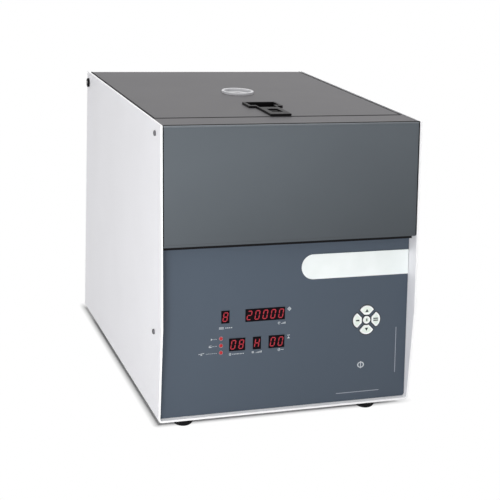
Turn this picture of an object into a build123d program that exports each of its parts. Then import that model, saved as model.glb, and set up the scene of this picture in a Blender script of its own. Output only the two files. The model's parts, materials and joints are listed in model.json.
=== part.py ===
"""Bench centrifuge for butterfat tubes: a folded steel cabinet with a hinged lid, a sloping front
hood above a recessed control panel, and an eight-place angle rotor in a guarded steel bowl.

Millimetres. +Z is up and the front faces -Y. The origin is on the surface that the feet stand on,
below the centre of the cabinet.
"""
import os
from math import atan2, cos, degrees, radians, sin, sqrt, tan

from build123d import *

# ---- cabinet ---------------------------------------------------------------------------------
foot_height = 26.0
cabinet_width = 400.0
cabinet_depth = 520.0
cabinet_height = 430.0
wrap_sheet = 3.0            # the folded sides and floor
wrap_bend = 6.0             # outer radius of the two lower bends
kink_height = 145.0         # the front edge is upright below this, above the cabinet's floor
front_setback = 34.5        # how far the sloping front edge leans back at the top
inner_gap = 0.3             # sheet parts to the inside of the wrap

# ---- hood and control panel ------------------------------------------------------------------
hood_sheet = 2.0
hood_drop = 1.0             # hood and lid lie this far below the top of the sides
hood_recess = 1.0           # hood face behind the front edges of the sides
hood_height = 169.0
hood_edge = 1.8             # rounding of the folded front edges
strip_depth = 54.5          # flat strip between the hood's front edge and the lid
panel_sheet = 2.0
panel_tuck = 5.0            # how far the panel reaches up behind the hood
panel_recess_top = 24.1     # panel face behind the front edges of the sides, at its two ends
panel_recess_bottom = 8.3
panel_cheek = 32.0
panel_corner = 4.5
panel_foot = 12.0           # the flange at the panel's lower edge

# ---- lid -------------------------------------------------------------------------------------
lid_sheet = 1.5
lid_edge = 1.05             # rounding of the lid's upper edges
lid_gap = 3.0               # lid to the sides
seam_gap = 1.0              # lid to the hood's strip
lid_skirt = 28.0
rear_skirt = 38.5
rear_inset = 1.0            # lid behind edge to the cabinet's rear edge
lid_depth = 31.0            # lid top to the underside of the liner
liner_wall = 2.5
liner_inset = 4.0
hinge_from_rear = 12.5
hinge_below_top = 17.5
hinge_pin_r = 4.0
hinge_pin_inside = 24.0     # how far a pin reaches into the cabinet
hinge_cap_r = 7.5
hinge_cap_t = 3.0
hinge_cap_edge = 1.0
hinge_nub_r = 3.0
hinge_nub = 1.4
hinge_block_half = 10.0
liner_to_hinge = 6.0
washer_r = 8.0
washer_play = 0.1

# ---- lid window ------------------------------------------------------------------------------
bezel_r = 26.0
bezel_inner_r = 22.0
bezel_proud = 3.8
bezel_spigot_r = 24.5
bezel_spigot = 3.0
bezel_edge = 1.2
lens_sunk = 5.0

# ---- latch -----------------------------------------------------------------------------------
latch_t = 3.5
latch_front_gap = 4.5
latch_front_half = 16.4
latch_front_length = 66.0
latch_rear_half = 27.3
latch_rear_length = 35.0
latch_corner = 1.5
latch_edge = 0.6
window_half = 8.6
window_length = 26.0
window_from_front = 15.5
well_half = 23.0
well_length = 25.0
well_from_rear = 3.0
well_shallow = 5.5          # finger well, below the moulding's top, at its front and rear
well_deep = 16.5
well_wall = 2.0
thumb_half = 14.4           # the well runs on, narrower, into the front of the moulding
thumb_length = 17.0
bolt_half = 7.2
bolt_height = 6.0
bolt_below_lid = 9.0        # bolt top to lid top
bolt_travel = 8.0
bolt_reach = 2.0            # bolt tip beyond the keeper when it is slid home
button_length = 11.8
button_sunk = 2.0
button_ribs = 3
button_groove = 1.0
button_groove_depth = 0.6
guide_wall = 2.0
keeper_t = 2.5
keeper_half = 20.0
keeper_rim = 9.0
sensor_size = (22.0, 10.0, 16.0)
sensor_x = 40.0

# ---- chamber and guard -----------------------------------------------------------------------
gasket_height = 7.7
gasket_width = 8.0
gasket_edge = 3.2
bowl_wall = 2.0
bowl_depth = 190.0
bowl_corner = 12.0
bowl_rim = 11.0
bowl_hole_r = 20.0
deck_sheet = 2.0
deck_flange = 20.0
deck_front_reach = 24.5     # deck reaches this far under the hood's strip
guard_gap = 4.0             # bowl to guard ring
guard_wall = 8.0
guard_side_gap = 18.0       # guard ring to the inside of the cabinet
shelf_sheet = 3.0
shelf_gap = 9.0             # bowl to shelf
shelf_hole_r = 34.0
shelf_front = 6.0
shelf_flange = 25.0

# ---- base and drive --------------------------------------------------------------------------
base_t = 6.0
base_side_gap = 7.0
base_upstand = 20.0
base_upstand_t = 4.0
foot_r = 15.5
foot_dome = 7.0
foot_from_side = 51.0
foot_from_front = 47.5
foot_from_rear = 60.0
foot_bore = 5.5
foot_bore_depth = 10.0
foot_bolt_r = 3.0
foot_bolt_head = 4.0
mount_height = 20.0
mount_r = 14.0
mount_waist = 3.0
mount_pitch = 80.0
motor_plate_t = 8.0
motor_plate_half = 105.0
motor_plate_corner = 20.0
motor_r = 64.0
motor_wall = 4.0
motor_floor = 10.0
motor_fin = 6.0
motor_fin_t = 3.0
motor_fin_inset = 9.0       # fins end this far from the ends of the housing
motor_fins = 16
end_cap_t = 15.0
motor_top_gap = 20.0        # end cap to shelf
bearing_r = 20.0
bearing_t = 12.0
shaft_r = 10.0
armature_r = 36.0
air_gap = 0.8
boot_r = 26.0
boot_wall = 4.0
boot_fold = 4.0
boot_folds = 4
running = 0.04              # radial clearance of every turning fit
fit = 0.02                  # radial clearance of parts fixed in each other

# ---- rotor -----------------------------------------------------------------------------------
sleeve_count = 8
sleeve_angle = 25.0         # sleeve axis from the vertical
sleeve_r = 15.0
sleeve_bore_r = 13.0
sleeve_length = 115.0
sleeve_floor = 3.0
sleeve_edge = 2.4
collar_r = 18.5
collar_t = 3.0
collar_depth = 15.0         # mouth to the underside of the collar
sleeve_wall_gap = 18.0      # sleeve to the bowl's wall
sleeve_floor_gap = 10.0     # sleeve to the bowl's floor
dish_t = 5.0
seat_sink = 1.0
dish_rim_gap = 25.0         # dish rim to the bowl's wall
hub_r = 28.0
hub_below = 30.0
hub_above = 6.0
stub_r = 6.0
stub_length = 15.0
nut_r = 17.0
nut_height = 20.0
nut_edge = 2.5
nut_flutes = 12
nut_flute_r = 1.7

# ---- controls on the panel: x from the middle, d down the slope from the panel's upper edge ----
digit_width = 12.4
display_height = 19.0
display_depth = 8.0
display_proud = 0.4
upper_row = 118.5
lower_row = 161.0
program_from_side = 94.0    # left edges of the displays, from the left side of the panel
speed_from_side = 131.1
rotor_from_side = 106.4
brake_from_side = 143.3
timer_from_side = 168.0
cutout_gap = 0.2
lamps_from_side = 93.7
lamp_r = 2.5
lamp_pitch = 10.6
badge_length = 174.5
badge_d = 51.2
badge_height = 37.6
badge_t = 0.8
badge_edge_gap = 0.5
pad_from_side = 67.3        # middle of the keypad, from the right side of the panel
pad_d = 138.2
pad_r = 22.2
pad_gap = 6.2               # between two neighbouring arrow keys
pad_arc_r = 12.5            # outer arc of an arrow key
pad_chord = 8.3             # inner flat of an arrow key, from the middle of the pad
centre_key_r = 5.75
key_proud = 1.2
key_gap = 0.3
key_flange = 1.0
key_flange_t = 1.3
key_corner = 0.8
key_stem_r = 2.0
key_travel = 0.6
board_t = 1.6
board_side_gap = 28.7       # board to the sides of the panel
board_margin = 14.0         # board beyond the displays, up and down
stud_r = 2.5
stud_inset = 8.0

# ---- rear panel ------------------------------------------------------------------------------
rear_sheet = 2.0
rear_recess = 13.0          # outer face of the rear panel, in from the cabinet's rear edge
rear_flange = 15.0
rear_top_flange = 20.0
slot_width = 70.0
slot_height = 5.0
slot_pitch = 14.0
slot_rows = 8
slot_x = 60.0
slots_below_deck = 38.0     # uppermost slot to the chamber's deck
fan_x = -95.0
fan_below_shelf = 32.0
fan_size = 80.0
fan_depth = 25.0
fan_bore_r = 38.0
fan_tip_gap = 1.5
fan_corner = 3.5
fan_hub_r = 14.0
fan_hub_length = 16.0
fan_hub_edge = 2.3
fan_axle_r = 2.0
fan_axle_grip = 12.0        # how far the axle reaches into the hub
fan_spider_t = 4.0
fan_arm_bite = 1.0          # arms and blades run this far into what carries them
fan_blades_count = 7
blade_chord = 17.0
blade_t = 1.6
blade_pitch = 40.0
guard_wire = 1.6
guard_rings = 4
guard_reach = 48.0          # screw eyes of the finger guard, from the fan's axis
guard_eye_r = 4.8
inlet_x = 110.0
inlet_above_base = 50.0
inlet_body = (27.0, 19.6)
inlet_flange = (50.0, 28.0)
inlet_corner = 4.5
inlet_flange_t = 2.0
inlet_depth = 24.0
inlet_wall = 1.5
socket_depth = 20.0
pin_length = 13.0
pin_size = (4.0, 2.0)
pin_pitch = 7.0
switch_above_inlet = 45.0
switch_body = (19.6, 29.0)
switch_flange = (24.0, 34.0)
switch_depth = 16.0
switch_wall = 2.2
rocker_gap = 0.4
rocker_half = 10.8
rocker_dip = 2.2            # the rocker's middle below its two ends
rocker_edge = 0.8
rocker_root = 3.0
rocker_tilt = 8.0
trunnion_r = 2.0

# ---- fasteners and electrics -----------------------------------------------------------------
screw_r = 2.5
screw_head_r = 4.0
screw_head = 2.2
screw_dome = 1.1
screw_grip = 4.0            # thread beyond the sheets that it holds
hood_screw = (28.2, 15.7)   # from the side's front edge, and below its top
panel_screw = (37.2, 301.7)
rear_screws_count = 4
rear_screw_pitch = 110.0
drive_size = (120.0, 62.0, 70.0)
drive_x = -90.0
drive_from_panel = 45.0
drive_fins = 9
drive_fin = 14.0
drive_fin_t = 2.5

# ---- worked out from the sizes above ---------------------------------------------------------
half_width = cabinet_width / 2
inner_half = half_width - wrap_sheet
sheet_half = inner_half - inner_gap
front_y = -cabinet_depth / 2
rear_y = cabinet_depth / 2
floor_z = foot_height
top_z = foot_height + cabinet_height
kink_z = floor_z + kink_height
front_slope = front_setback / (top_z - kink_z)


def front_edge(z):
    """Y of the front edge of the sides at a height."""
    return front_y + max(0.0, z - kink_z) * front_slope


lid_top = top_z - hood_drop
hood_bottom = lid_top - hood_height
seam_y = front_edge(lid_top) + hood_recess + strip_depth
lid_front = seam_y + seam_gap
lid_back = rear_y - rear_inset
lid_half = inner_half - lid_gap
lid_under = lid_top - lid_sheet
hinge_y = rear_y - hinge_from_rear
hinge_z = top_z - hinge_below_top
liner_bottom = lid_top - lid_depth
liner_back = hinge_y - hinge_block_half - liner_to_hinge
liner_half = lid_half - liner_inset

rim_top = liner_bottom - inner_gap - gasket_height
deck_top = rim_top - bowl_wall
deck_bottom = deck_top - deck_sheet
rear_face = rear_y - rear_recess
rear_inside = rear_face - rear_sheet
rotor_y = (seam_y + rear_face) / 2
guard_r = inner_half - guard_side_gap
guard_inner_r = guard_r - guard_wall
bowl_outer_r = guard_inner_r - guard_gap
bowl_r = bowl_outer_r - bowl_wall
bowl_floor = rim_top - bowl_depth
bowl_bottom = bowl_floor - bowl_wall
shelf_top = bowl_bottom - shelf_gap
shelf_bottom = shelf_top - shelf_sheet

base_bottom = floor_z + wrap_sheet
base_top = base_bottom + base_t
rear_screw_z = base_top + base_upstand / 2
slot_z = deck_bottom - slots_below_deck - (slot_rows - 1) / 2 * slot_pitch
fan_z = shelf_bottom - fan_below_shelf - fan_size / 2
inlet_z = base_top + inlet_above_base
switch_z = inlet_z + switch_above_inlet
switch_x = inlet_x
motor_plate_z = base_top + mount_height
motor_z = motor_plate_z + motor_plate_t
cap_top = shelf_bottom - motor_top_gap
cap_z = cap_top - end_cap_t

panel_top = hood_bottom + panel_tuck
panel_bottom = base_bottom + inner_gap
panel_top_y = front_edge(panel_top) + panel_recess_top
panel_bottom_y = front_edge(panel_bottom) + panel_recess_bottom
panel_lean = atan2(panel_top_y - panel_bottom_y, panel_top - panel_bottom)
panel_length = sqrt((panel_top - panel_bottom) ** 2 + (panel_top_y - panel_bottom_y) ** 2)
panel_plane = Plane(
    origin=(0, panel_top_y, panel_top), x_dir=(1, 0, 0), z_dir=(0, -cos(panel_lean), sin(panel_lean))
)
board_front = -panel_sheet - display_depth
board_half = sheet_half - board_side_gap
board_top = upper_row - display_height / 2 - board_margin
board_bottom = lower_row + display_height / 2 + board_margin
pad_x = sheet_half - pad_from_side
lamp_x = lamps_from_side - sheet_half
displays = {                # left edge, number of digits and row
    "program_display": (program_from_side - sheet_half, 1, upper_row),
    "speed_display": (speed_from_side - sheet_half, 5, upper_row),
    "rotor_display": (rotor_from_side - sheet_half, 2, lower_row),
    "brake_display": (brake_from_side - sheet_half, 1, lower_row),
    "timer_display": (timer_from_side - sheet_half, 2, lower_row),
}

tilt = radians(sleeve_angle)
sleeve_end_r = bowl_r - sleeve_wall_gap - sleeve_r * cos(tilt)
sleeve_end_z = bowl_floor + sleeve_floor_gap + sleeve_r * sin(tilt)
mouth_r = sleeve_end_r - sleeve_length * sin(tilt)
mouth_z = sleeve_end_z + sleeve_length * cos(tilt)
seat_r = mouth_r + collar_depth * sin(tilt)
seat_z = mouth_z - collar_depth * cos(tilt)
rim_r = bowl_r - dish_rim_gap


def dish_z(r):
    """Height of the dish's upper face, square to the sleeves, at a radius."""
    return seat_z + seat_sink / cos(tilt) + (r - seat_r) * tan(tilt)


dish_drop = dish_t / cos(tilt)
hub_bottom = dish_z(hub_r) - dish_drop - hub_below
hub_top = dish_z(hub_r) + hub_above


# ---- shapes that repeat ----------------------------------------------------------------------
def block(x0, x1, y0, y1, z0, z1):
    """A box between two corners."""
    return Pos((x0 + x1) / 2, (y0 + y1) / 2, (z0 + z1) / 2) * Box(x1 - x0, y1 - y0, z1 - z0)


def upright(x, y, z0, z1, r):
    """A cylinder along Z."""
    return Pos(x, y, (z0 + z1) / 2) * Cylinder(r, z1 - z0)


def crosswise(y, z, x0, x1, r):
    """A cylinder along X."""
    return Pos((x0 + x1) / 2, y, z) * Rot(0, 90, 0) * Cylinder(r, abs(x1 - x0))


def lengthwise(x, z, y0, y1, r):
    """A cylinder along Y."""
    return Pos(x, (y0 + y1) / 2, z) * Rot(90, 0, 0) * Cylinder(r, abs(y1 - y0))


def side_form(points, x0, x1):
    """A side view, given as (y, z) points, made solid from x0 to x1."""
    return Pos(x0, 0, 0) * extrude(Plane.YZ * Polygon(*points, align=None), amount=x1 - x0)


def turned(points):
    """A turned part about the rotor's axis, from its (r, z) section."""
    return Pos(0, rotor_y, 0) * revolve(Plane.XZ * Polygon(*points, align=None), axis=Axis.Z)


def ring(r0, r1, z0, z1):
    """A ring about the rotor's axis."""
    return turned([(r0, z0), (r1, z0), (r1, z1), (r0, z1)])


def both_sides(piece):
    """A piece and its mirror image across the middle plane."""
    return [piece, mirror(piece, about=Plane.YZ)]


def fold_edges(piece, spots, radius):
    """Rounds the long edges along X that pass through the (y, z) spots."""
    near = 0.2
    picked = [
        edge for edge in piece.edges().filter_by(Axis.X)
        if any(abs(edge.center().Y - y) + abs(edge.center().Z - z) < near for y, z in spots)
    ]
    return fillet(picked, radius)


def on_panel(x, d, low, high, shape):
    """A flat shape on the control panel, made solid between two heights over its face."""
    return panel_plane.location * Pos(x, -d, low) * extrude(shape, amount=high - low)


rear_plane = Plane(origin=(0, rear_face, 0), x_dir=(-1, 0, 0), z_dir=(0, 1, 0))


def on_rear(x, z, low, high, shape):
    """A flat shape on the rear panel, made solid between two heights over its outer face."""
    return rear_plane.location * Pos(-x, z, low) * extrude(shape, amount=high - low)


# ---- cabinet ---------------------------------------------------------------------------------
hood_screw_z = top_z - hood_screw[1]
panel_screw_z = top_z - panel_screw[1]
side_screw_spots = [
    (front_edge(hood_screw_z) + hood_screw[0], hood_screw_z),
    (front_edge(panel_screw_z) + panel_screw[0], panel_screw_z),
]
foot_x = half_width - foot_from_side
foot_spots = [
    (x, y) for x in (-foot_x, foot_x) for y in (front_y + foot_from_front, rear_y - foot_from_rear)
]


def cabinet_wrap():
    outer = fillet(
        block(-half_width, half_width, front_y, rear_y, floor_z, top_z)
        .edges().filter_by(Axis.Y).sort_by(Axis.Z)[:2],
        wrap_bend,
    )
    inner = fillet(
        block(-inner_half, inner_half, front_y, rear_y, base_bottom, top_z + wrap_sheet)
        .edges().filter_by(Axis.Y).sort_by(Axis.Z)[:2],
        wrap_bend - wrap_sheet,
    )
    outline = [
        (front_y, floor_z), (rear_y, floor_z), (rear_y, top_z),
        (front_edge(top_z), top_z), (front_y, kink_z),
    ]
    wrap = (outer - inner) & side_form(outline, -half_width, half_width)
    for y, z in side_screw_spots:
        wrap -= crosswise(y, z, -half_width, half_width, screw_r + fit)
    wrap -= crosswise(hinge_y, hinge_z, -half_width, half_width, hinge_pin_r + fit)
    for x, y in foot_spots:
        wrap -= upright(x, y, floor_z, base_bottom, foot_bolt_r + fit)
    return wrap


def front_hood():
    face_top = front_edge(lid_top) + hood_recess
    face_bottom = front_edge(hood_bottom) + hood_recess
    back_bottom = front_edge(hood_bottom) + panel_recess_top - inner_gap - panel_sheet
    inside = hood_sheet * sqrt(1 + front_slope ** 2)
    deck_front = seam_y - deck_front_reach
    front = [
        (face_top, lid_top), (face_bottom, hood_bottom),
        (face_bottom + inside, hood_bottom), (face_top + inside, lid_top),
    ]
    cheek = [
        (face_top, lid_top), (face_bottom, hood_bottom), (back_bottom, hood_bottom),
        (back_bottom, panel_top + inner_gap), (deck_front - inner_gap, deck_top),
        (seam_y, deck_top), (seam_y, lid_top),
    ]
    hood = side_form(front, -sheet_half, sheet_half)
    hood += block(-sheet_half, sheet_half, face_top, seam_y, lid_top - hood_sheet, lid_top)
    hood += block(-sheet_half, sheet_half, seam_y - hood_sheet, seam_y, deck_top, lid_top)
    hood += block(
        -sheet_half, sheet_half, face_bottom, back_bottom, hood_bottom, hood_bottom + hood_sheet
    )
    hood += side_form(cheek, -sheet_half, -sheet_half + hood_sheet)
    hood += side_form(cheek, sheet_half - hood_sheet, sheet_half)
    hood = fold_edges(hood, [(face_top, lid_top), (face_bottom, hood_bottom)], hood_edge)
    y, z = side_screw_spots[0]
    hood -= crosswise(y, z, -half_width, half_width, screw_r + fit)
    slot_side = bolt_half + 2 * inner_gap + lid_gap
    hood -= block(
        -slot_side, slot_side, seam_y - hood_sheet, seam_y,
        bolt_bottom - bolt_height / 2, bolt_top + bolt_height / 2,
    )
    return hood


def rounded_panel(grow, corner):
    """Outline of the control panel's face, from its upper edge down."""
    shape = Pos(0, -panel_length / 2) * Rectangle(2 * (sheet_half + grow), panel_length + 2 * grow)
    return fillet(shape.vertices().sort_by(Axis.Y)[:2], corner)


def board_spots():
    """Where the control board stands on the panel's studs."""
    return [
        (x, d)
        for x in (stud_inset - board_half, board_half - stud_inset)
        for d in (board_top + stud_inset, board_bottom - stud_inset)
    ]


def key_outline(turn, grow):
    """An arrow key, grown evenly, with the pad's middle at the origin."""
    diagonal = pad_gap / sqrt(2) - grow * sqrt(2)
    inner = pad_chord - grow
    outer = pad_r + grow
    wedge = Polygon(
        (inner - diagonal, inner), (outer - diagonal, outer),
        (diagonal - outer, outer), (diagonal - inner, inner), align=None,
    )
    shape = wedge & Pos(0, pad_r - pad_arc_r) * Circle(pad_arc_r + grow)
    return Rot(0, 0, turn) * fillet(shape.vertices(), key_corner)


key_turns = {"up_key": 0, "left_key": 90, "down_key": 180, "right_key": 270}


def control_panel():
    panel = on_panel(0, 0, -panel_sheet, 0, rounded_panel(0, panel_corner))
    cheek_end = panel_length - panel_corner - panel_cheek * sin(panel_lean)
    cheek = Rectangle(panel_sheet, cheek_end)
    for x in (panel_sheet / 2 - sheet_half, sheet_half - panel_sheet / 2):
        panel += on_panel(x, cheek_end / 2, -panel_sheet - panel_cheek, -panel_sheet / 2, cheek)
    panel += block(
        -base_half, base_half, panel_bottom_y + panel_sheet / 2,
        panel_bottom_y + panel_sheet + panel_foot, panel_bottom, panel_bottom + panel_sheet,
    )
    for x, digits, row in displays.values():
        width = digits * digit_width
        opening = Rectangle(width + 2 * cutout_gap, display_height + 2 * cutout_gap)
        panel -= on_panel(x + width / 2, row, -panel_sheet, 0, opening)
    for step in (-1, 0, 1):
        panel -= on_panel(
            lamp_x, lower_row + step * lamp_pitch, -panel_sheet, 0, Circle(lamp_r + cutout_gap)
        )
    for turn in key_turns.values():
        panel -= on_panel(pad_x, pad_d, -panel_sheet, 0, key_outline(turn, key_gap))
    panel -= on_panel(pad_x, pad_d, -panel_sheet, 0, Circle(centre_key_r + key_gap))
    for x, d in board_spots():
        panel += on_panel(x, d, board_front, -panel_sheet, Circle(stud_r))
    y, z = side_screw_spots[1]
    return panel - crosswise(y, z, -half_width, half_width, screw_r + fit)


base_half = inner_half - base_side_gap
base_front = panel_bottom_y + panel_sheet + panel_foot + inner_gap
rear_screw_x = [
    (i - (rear_screws_count - 1) / 2) * rear_screw_pitch for i in range(rear_screws_count)
]


def base_plate():
    plate = block(-base_half, base_half, base_front, rear_inside, base_bottom, base_top)
    plate += block(
        -base_half, base_half, rear_inside - base_upstand_t, rear_inside,
        base_top, base_top + base_upstand,
    )
    for x, y in foot_spots:
        plate -= upright(x, y, base_bottom, base_top, foot_bolt_r + fit)
    for x in rear_screw_x:
        plate -= lengthwise(x, rear_screw_z, rear_inside - base_upstand_t, rear_inside, screw_r + fit)
    return plate


def rubber_foot(x, y):
    foot = upright(x, y, 0, foot_height, foot_r)
    foot = fillet(foot.edges().sort_by(Axis.Z)[0], foot_dome)
    foot -= upright(x, y, 0, foot_bore_depth, foot_bore)
    return foot - upright(x, y, 0, foot_height, foot_bolt_r + fit)


def foot_bolt(x, y):
    head = upright(x, y, foot_bore_depth - foot_bolt_head, foot_bore_depth, foot_bore - inner_gap)
    return head + upright(x, y, foot_bore_depth - foot_bolt_head, base_top, foot_bolt_r)


def side_screws():
    screws = []
    for y, z in side_screw_spots:
        head = crosswise(y, z, half_width, half_width + screw_head, screw_head_r)
        head = fillet(head.edges().sort_by(Axis.X)[-1], screw_dome)
        shank = crosswise(y, z, sheet_half - screw_grip, half_width + screw_dome, screw_r)
        screws += both_sides(head + shank)
    return screws


# ---- rear panel and what is on it --------------------------------------------------------------
def rear_panel():
    top = deck_bottom
    panel = block(-sheet_half, sheet_half, rear_inside, rear_face, panel_bottom, top)
    panel += block(
        -sheet_half, sheet_half, rear_inside - rear_top_flange, rear_face, top - rear_sheet, top
    )
    corner = wrap_bend + inner_gap
    for x in (-sheet_half, sheet_half - rear_sheet):
        panel += block(
            x, x + rear_sheet, rear_inside - rear_flange, rear_inside, panel_bottom + corner, top
        )
        panel -= block(
            x, x + rear_sheet, rear_inside - rear_flange, rear_inside,
            shelf_bottom - shelf_flange - inner_gap, shelf_top + inner_gap,
        )
    lower = panel.edges().filter_by(Axis.Y).group_by(Axis.Z)[0].sort_by(Axis.X)
    panel = fillet([lower[0], lower[-1]], panel_corner)
    for x in (-slot_x, slot_x):
        for row in range(slot_rows):
            z = slot_z + (row - (slot_rows - 1) / 2) * slot_pitch
            panel -= on_rear(x, z, -rear_sheet, 0, SlotOverall(slot_width, slot_height))
    panel -= on_rear(fan_x, fan_z, -rear_sheet, 0, Circle(fan_bore_r))
    for x, z, size in ((inlet_x, inlet_z, inlet_body), (switch_x, switch_z, switch_body)):
        opening = Rectangle(size[0] + 2 * cutout_gap, size[1] + 2 * cutout_gap)
        panel -= on_rear(x, z, -rear_sheet, 0, opening)
    for x in rear_screw_x:
        panel -= lengthwise(x, rear_screw_z, rear_inside, rear_face, screw_r + fit)
    return panel


def rear_screw(x):
    head = lengthwise(x, rear_screw_z, rear_face, rear_face + screw_head, screw_head_r)
    head = fillet(head.edges().sort_by(Axis.Y)[-1], screw_dome)
    inner_end = rear_inside - base_upstand_t - screw_grip
    return head + lengthwise(x, rear_screw_z, inner_end, rear_face + screw_dome, screw_r)


def mains_inlet():
    flange = fillet(Rectangle(*inlet_flange).vertices(), inlet_corner)
    inlet = on_rear(inlet_x, inlet_z, 0, inlet_flange_t, flange)
    inlet += on_rear(inlet_x, inlet_z, -inlet_depth, 0, Rectangle(*inlet_body))
    socket = Rectangle(inlet_body[0] - 2 * inlet_wall, inlet_body[1] - 2 * inlet_wall)
    socket_end = inlet_flange_t - socket_depth
    inlet -= on_rear(inlet_x, inlet_z, socket_end, inlet_flange_t, socket)
    for step, lift in ((-1, -1), (0, 1), (1, -1)):
        pin = Rectangle(pin_size[1], pin_size[0])
        x = inlet_x + step * pin_pitch
        z = inlet_z + lift * pin_size[0] / 2
        inlet += on_rear(x, z, socket_end - inlet_wall / 2, socket_end + pin_length, pin)
    return inlet


rocker_pivot = -(switch_depth - inlet_flange_t) / 3
cavity = (switch_body[0] - 2 * switch_wall, switch_body[1] - 2 * switch_wall)


def switch_frame():
    flange = fillet(Rectangle(*switch_flange).vertices(), switch_wall)
    frame = on_rear(switch_x, switch_z, 0, inlet_flange_t, flange)
    frame += on_rear(switch_x, switch_z, -switch_depth, 0, Rectangle(*switch_body))
    floor = -switch_depth + switch_wall
    frame -= on_rear(switch_x, switch_z, floor, inlet_flange_t, Rectangle(*cavity))
    y = rear_face + rocker_pivot
    half = switch_body[0] / 2
    return frame - crosswise(y, switch_z, switch_x - half, switch_x + half, trunnion_r + running)


def switch_rocker():
    """A two-way rocker, lying over to one side."""
    half = cavity[0] / 2 - rocker_gap
    high = inlet_flange_t - rocker_pivot + rocker_dip
    points = [
        (rocker_half, high), (0, high - rocker_dip), (-rocker_half, high),
        (-rocker_half, switch_wall), (-rocker_root, -rocker_root),
        (rocker_root, -rocker_root), (rocker_half, switch_wall),
    ]
    rocker = extrude(Plane.YZ * Polygon(*points, align=None), amount=half, both=True)
    rocker = fillet(rocker.edges().filter_by(Axis.X).group_by(Axis.Z)[-1], rocker_edge)
    rocker += Rot(0, 90, 0) * Cylinder(trunnion_r, switch_body[0] - 2 * inner_gap)
    place = Pos(switch_x, rear_face + rocker_pivot, switch_z) * Rot(-90, 0, 0)
    return place * Rot(rocker_tilt, 0, 0) * rocker


def on_fan(piece):
    """A piece made about Z, with the fan's inner face at z = 0, set behind the rear panel."""
    return Pos(fan_x, rear_inside - fan_depth, fan_z) * Rot(-90, 0, 0) * piece


fan_axle_length = fan_spider_t + fan_axle_grip
fan_tip_r = fan_bore_r - fan_tip_gap


def fan_frame():
    half = fan_depth / 2
    frame = Pos(0, 0, half) * Box(fan_size, fan_size, fan_depth)
    frame = fillet(frame.edges().filter_by(Axis.Z), fan_corner)
    frame -= Pos(0, 0, half) * Cylinder(fan_bore_r, fan_depth)
    middle = fan_spider_t / 2
    frame += Pos(0, 0, middle) * Cylinder(fan_hub_r, fan_spider_t)
    for turn in (90, 210, 330):
        reach = fan_bore_r + fan_arm_bite
        arm = Pos(reach / 2, 0, middle) * Box(reach, fan_spider_t, fan_spider_t)
        frame += Rot(0, 0, turn) * arm
    frame += Pos(0, 0, fan_axle_length / 2) * Cylinder(fan_axle_r, fan_axle_length)
    return on_fan(frame)


def fan_blades():
    low = fan_spider_t + inner_gap
    hub = Pos(0, 0, low + fan_hub_length / 2) * Cylinder(fan_hub_r, fan_hub_length)
    hub = fillet(hub.edges().sort_by(Axis.Z)[-1], fan_hub_edge)
    reach = fan_tip_r - fan_hub_r + fan_arm_bite
    for blade in range(fan_blades_count):
        wing = Rot(blade_pitch, 0, 0) * Box(reach, blade_chord, blade_t)
        wing = Pos(fan_tip_r - reach / 2, 0, low + fan_hub_length / 2) * wing
        hub += Rot(0, 0, blade * 360 / fan_blades_count) * wing
    swept = Pos(0, 0, low + fan_hub_length / 2) * Cylinder(fan_tip_r, fan_hub_length)
    hub = hub & swept
    bore_length = fan_axle_length + inner_gap
    bore = Pos(0, 0, bore_length / 2) * Cylinder(fan_axle_r + running, bore_length)
    return on_fan(hub - bore)


def fan_guard():
    guard = None
    step = (fan_bore_r - guard_wire) / guard_rings
    for i in range(1, guard_rings + 1):
        hoop = Circle(i * step + guard_wire) - Circle(i * step)
        hoop = on_rear(fan_x, fan_z, guard_wire, 2 * guard_wire, hoop)
        guard = hoop if guard is None else guard + hoop
    for turn in (45, 135):
        bar = Rot(0, 0, turn) * Rectangle(2 * guard_reach, guard_wire)
        guard += on_rear(fan_x, fan_z, 0, guard_wire + guard_wire / 2, bar)
        for end in (-1, 1):
            reach = end * guard_reach
            spot = (reach * cos(radians(turn)), reach * sin(radians(turn)))
            eye = Pos(*spot) * Circle(guard_eye_r)
            guard += on_rear(fan_x, fan_z, 0, guard_wire, eye)
    return guard


# ---- chamber -----------------------------------------------------------------------------------
def chamber_deck():
    front = seam_y - deck_front_reach
    back = rear_inside - rear_top_flange / 2
    deck = block(-sheet_half, sheet_half, front, back, deck_bottom, deck_top)
    flange_bottom = deck_top - deck_flange
    deck += block(-sheet_half, sheet_half, front, front + deck_sheet, flange_bottom, deck_top)
    flange_back = rear_inside - rear_top_flange - inner_gap
    for x in (-sheet_half, sheet_half - deck_sheet):
        deck += block(x, x + deck_sheet, front, flange_back, flange_bottom, deck_top)
    return deck - upright(0, rotor_y, deck_bottom, deck_top, bowl_outer_r + inner_gap)


def chamber_bowl():
    outer = upright(0, rotor_y, bowl_bottom, rim_top, bowl_outer_r)
    outer = fillet(outer.edges().sort_by(Axis.Z)[0], bowl_corner + bowl_wall)
    inner = upright(0, rotor_y, bowl_floor, rim_top + bowl_wall, bowl_r)
    inner = fillet(inner.edges().sort_by(Axis.Z)[0], bowl_corner)
    bowl = outer + upright(0, rotor_y, deck_top, rim_top, bowl_r + bowl_rim) - inner
    bowl += upright(0, rotor_y, bowl_bottom, bowl_floor + 2 * bowl_wall, bowl_hole_r + bowl_wall)
    return bowl - upright(0, rotor_y, bowl_bottom, bowl_floor + 3 * bowl_wall, bowl_hole_r)


def bowl_gasket():
    inner_r = bowl_r + bowl_wall
    seal = ring(inner_r, inner_r + gasket_width, rim_top, rim_top + gasket_height)
    return fillet(seal.edges().group_by(Axis.Z)[-1], gasket_edge)


def chamber_shelf():
    front = rotor_y - guard_r - shelf_front
    back = rear_inside - inner_gap
    shelf = block(-sheet_half, sheet_half, front, back, shelf_bottom, shelf_top)
    for x in (-sheet_half, sheet_half - shelf_sheet):
        shelf += block(x, x + shelf_sheet, front, back, shelf_bottom - shelf_flange, shelf_top)
    return shelf - upright(0, rotor_y, shelf_bottom, shelf_top, shelf_hole_r)


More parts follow.
